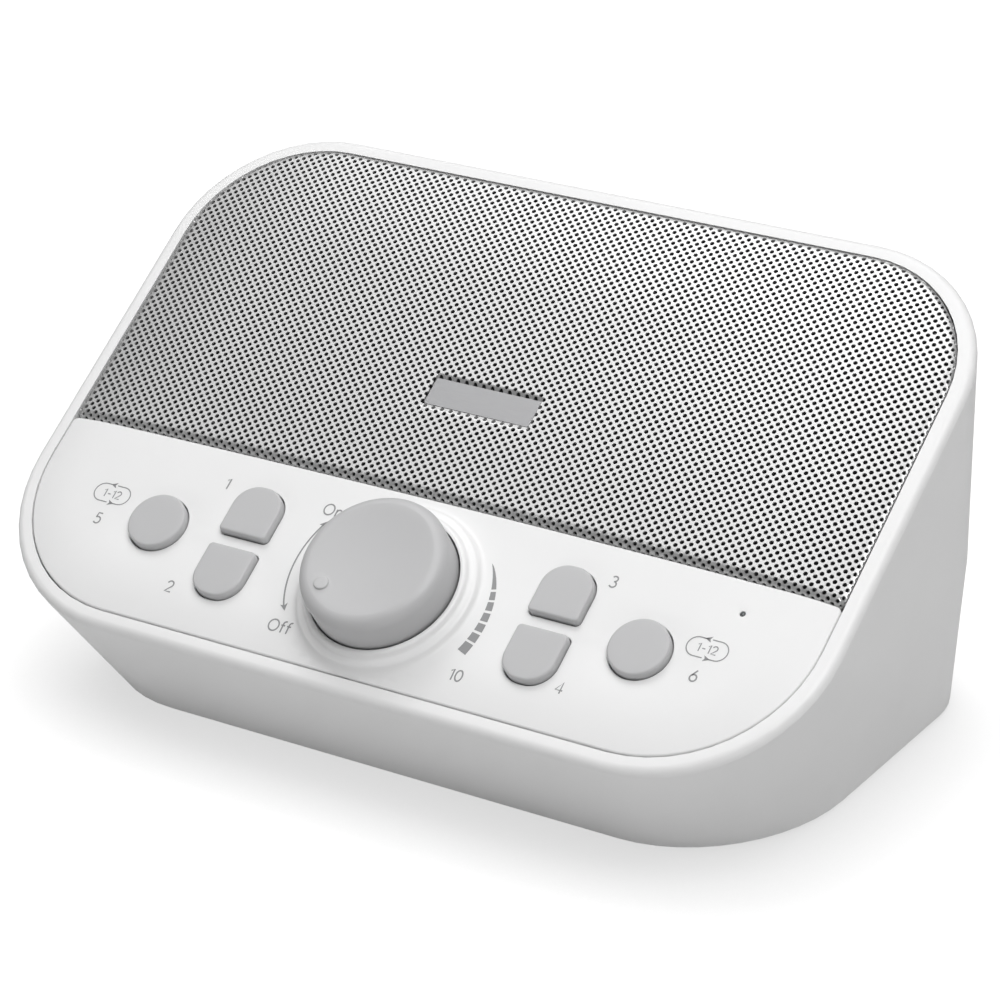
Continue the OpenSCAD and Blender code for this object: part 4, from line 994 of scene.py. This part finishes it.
def print_marks():
    """All printed marks in one piece."""
    ink = Ink()
    for text, x, u, height in WORDS:
        ink.word(text, x, u, height)
    ink.stroke(SWITCH_ARC, ARC_W)
    for tip in SWITCH_ARROWS:
        ink.arrow(*tip)
    for start, end in SCALE_PARTS:
        sides = [scale_at(start + (end - start) * i / SCALE_STEPS) for i in range(SCALE_STEPS + 1)]
        for (a, b), (c, d) in zip(sides, sides[1:]):
            ink.patch([a, c, d, b])
    # A loop with two arrows round the numbers of the sounds that a round button steps through
    for x in LOOPS_X:
        low, high = LOOP_U - LOOP_H, LOOP_U + LOOP_H
        right = bow(x + LOOP_W - LOOP_H, LOOP_U, LOOP_H, LOOP_H, -90, 90, 16)
        left = bow(x - LOOP_W + LOOP_H, LOOP_U, LOOP_H, LOOP_H, 90, 270, 16)
        ink.stroke([(x + 0.4, low)] + right + [(x + 1.2, high), (x + 0.2, high)], THIN_W)
        ink.stroke([(x - 0.4, high)] + left + [(x - 1.2, low), (x - 0.2, low)], THIN_W)
        ink.arrow(x - 0.5, high, 180, LOOP_ARROW)
        ink.arrow(x + 0.6, low, 0, LOOP_ARROW)
        ink.word("1-12", x, LOOP_U, LOOP_TEXT, THIN_W)
    piece("printed_marks", ink.points, ink.faces, printed_ink, "case", (), 60)


print_marks()

# ---------------------------------------------------------------- finishes of the other nodes

FINISH_OF = {
    satin_white_abs: ("housing", "base_plate"),
    foot_rubber: ("rubber_feet", "speaker_gasket"),
    zinc_steel: ("base_screws", "baffle_screws", "speaker_screws", "control_board_screws",
                 "main_board_screws", "speaker_front_plate", "speaker_yoke"),
    nickel_steel: ("potentiometer", "potentiometer_shaft"),
    black_abs: ("front_baffle", "key_switches", "main_chips", "power_inlet", "audio_socket",
                "speaker_basket"),
    speaker_cloth: ("grille_cloth",),
    brushed_aluminium: ("nameplate",),
    foam_black: ("speaker_surround",),
    pressed_paper: ("speaker_cone", "speaker_dust_cap"),
    copper_wire: ("speaker_voice_coil",),
    spider_yellow: ("speaker_spider",),
    sintered_ferrite: ("speaker_magnet",),
    tinned_brass: ("speaker_terminals",),
    solder_mask_green: ("control_board", "main_board"),
    nylon_white: ("control_header", "main_headers"),
    lens_epoxy: ("status_led",),
    clear_polycarbonate: ("light_pipe",),
    plunger_brown: tuple(n for n in NODES if n.startswith("plunger_")),
    capacitor_sleeve: ("main_capacitors",),
    pvc_grey: ("ribbon_cable",),
    pvc_red: ("speaker_leads",),
}
# Width of the softened edges of the solids that show, and the least angle of such an edge in degrees
EDGE_OF = {"housing": 0.25, "base_plate": 0.25, "rubber_feet": 0.3, "base_screws": 0.15, "nameplate": 0.12,
           "power_inlet": 0.15, "audio_socket": 0.15}
EDGE_ANGLE = 38
# Points of a solid that are nearer than this are one point
WELD_REACH = 0.002

for finish, names in FINISH_OF.items():
    for name in names:
        node = NODES[name]
        for slot in node.material_slots:
            slot.material = finish
        weld = node.modifiers.new("weld", "WELD")
        weld.merge_threshold = WELD_REACH * MM
        if name in EDGE_OF:
            edge = node.modifiers.new("softened edges", "BEVEL")
            edge.width = EDGE_OF[name] * MM
            edge.segments = 3
            edge.limit_method = "ANGLE"
            edge.angle_limit = math.radians(EDGE_ANGLE)
            edge.harden_normals = False
        node.modifiers.new("even shading", "WEIGHTED_NORMAL").keep_sharp = False

# ---------------------------------------------------------------- stage, light and camera, in metres

STAGE_SIZE = 8
# Reach of the painted contact shadow, from ambient occlusion, and how open a place is where all of it falls
SHADE_REACH = 0.026
SHADE_OPEN = 0.35


def stage_sheet(name, colour, level, glow, shade=0.0):
    """A flat sheet that glows a little. Shade paints a contact shadow beside the object, taking that share of
    the glow away.
    """
    mesh = bpy.data.meshes.new(name)
    s = STAGE_SIZE / 2
    corners = [(-s, -s, level), (s, -s, level), (s, s, level), (-s, s, level)]
    mesh.from_pydata(corners, [], [(0, 1, 2, 3)])
    made = bpy.data.objects.new(name, mesh)
    bpy.context.scene.collection.objects.link(made)
    material, tree, _ = new_finish(name)
    strength = glow
    if shade:
        # Painted contact shadow: ambient occlusion dims the sheet's glow beside the object
        near = add(tree, "ShaderNodeAmbientOcclusion", {"Distance": SHADE_REACH}, samples=16)
        strength = (add(tree, "ShaderNodeMapRange", {
            "Value": (near, "AO"), "From Min": SHADE_OPEN, "To Min": glow * (1 - shade), "To Max": glow}),
            "Result")
    close_finish(tree, add(tree, "ShaderNodeBsdfPrincipled", {
        "Base Color": linear(colour), "Roughness": 0.8, "Specular IOR Level": 0.0,
        "Emission Color": (1, 1, 1, 1), "Emission Strength": strength}))
    mesh.materials.append(material)
    return made


# The paper that shows is white, with a painted contact shadow. What the object receives from below comes from
# the table under it
paper = stage_sheet("white_paper", "#6C6C6C", -0.0001, 1.0, 0.34)
paper.visible_diffuse = False
paper.visible_glossy = False
paper.visible_shadow = False
table = stage_sheet("pale_table", "#C0C0C0", -0.0003, 0.17)
table.visible_camera = False

# A dim room, whose far end shows white to the camera
world = bpy.data.worlds.new("studio")
bpy.context.scene.world = world
world.use_nodes = True
sky = world.node_tree
sky.nodes.clear()
ray = add(sky, "ShaderNodeLightPath")
room = add(sky, "ShaderNodeMapRange", {"Value": (ray, "Is Camera Ray"), "To Min": 0.15, "To Max": 1.0})
dome = add(sky, "ShaderNodeBackground", {"Color": (1, 1, 1, 1), "Strength": (room, "Result")})
add(sky, "ShaderNodeOutputWorld", {"Surface": (dome, 0)})


# Size of a softbox, its distance from the place that it faces, and that place
LAMP_SIZE = 0.6
LAMP_FAR = 1.1
LAMP_AIM = Vector((0, 0, 0.045))


def softbox(name, height, turn, power):
    """A square softbox, at a height and a turn from the right in degrees, with its power in watts."""
    lamp = bpy.data.lights.new(name, "AREA")
    lamp.shape = "SQUARE"
    lamp.size = LAMP_SIZE
    lamp.energy = power
    made = bpy.data.objects.new(name, lamp)
    bpy.context.scene.collection.objects.link(made)
    up, round_z = math.radians(height), math.radians(turn)
    way = Vector((math.cos(up) * math.cos(round_z), math.cos(up) * math.sin(round_z), math.sin(up)))
    made.location = LAMP_AIM + way * LAMP_FAR
    made.rotation_euler = (-way).to_track_quat("-Z", "Y").to_euler()


softbox("front softbox", 56, 315, 6.1)
softbox("right softbox", 60, 0, 2.05)
softbox("top softbox", 78, 150, 2.7)
softbox("rear softbox", 60, 135, 1.5)
softbox("left softbox", 60, 180, 1.6)

# A long lens from the front, to the right and above
camera_data = bpy.data.cameras.new("camera")
camera_data.sensor_width = 36
camera_data.lens = 135.3
camera_data.clip_start = 0.01
camera = bpy.data.objects.new("camera", camera_data)
bpy.context.scene.collection.objects.link(camera)
camera.location = (0.3078, -0.4965, 0.2890)
camera.rotation_euler = Euler([math.radians(a) for a in (66.63, 0, 31.81)])
bpy.context.scene.camera = camera
bpy.context.scene.view_settings.view_transform = "Standard"
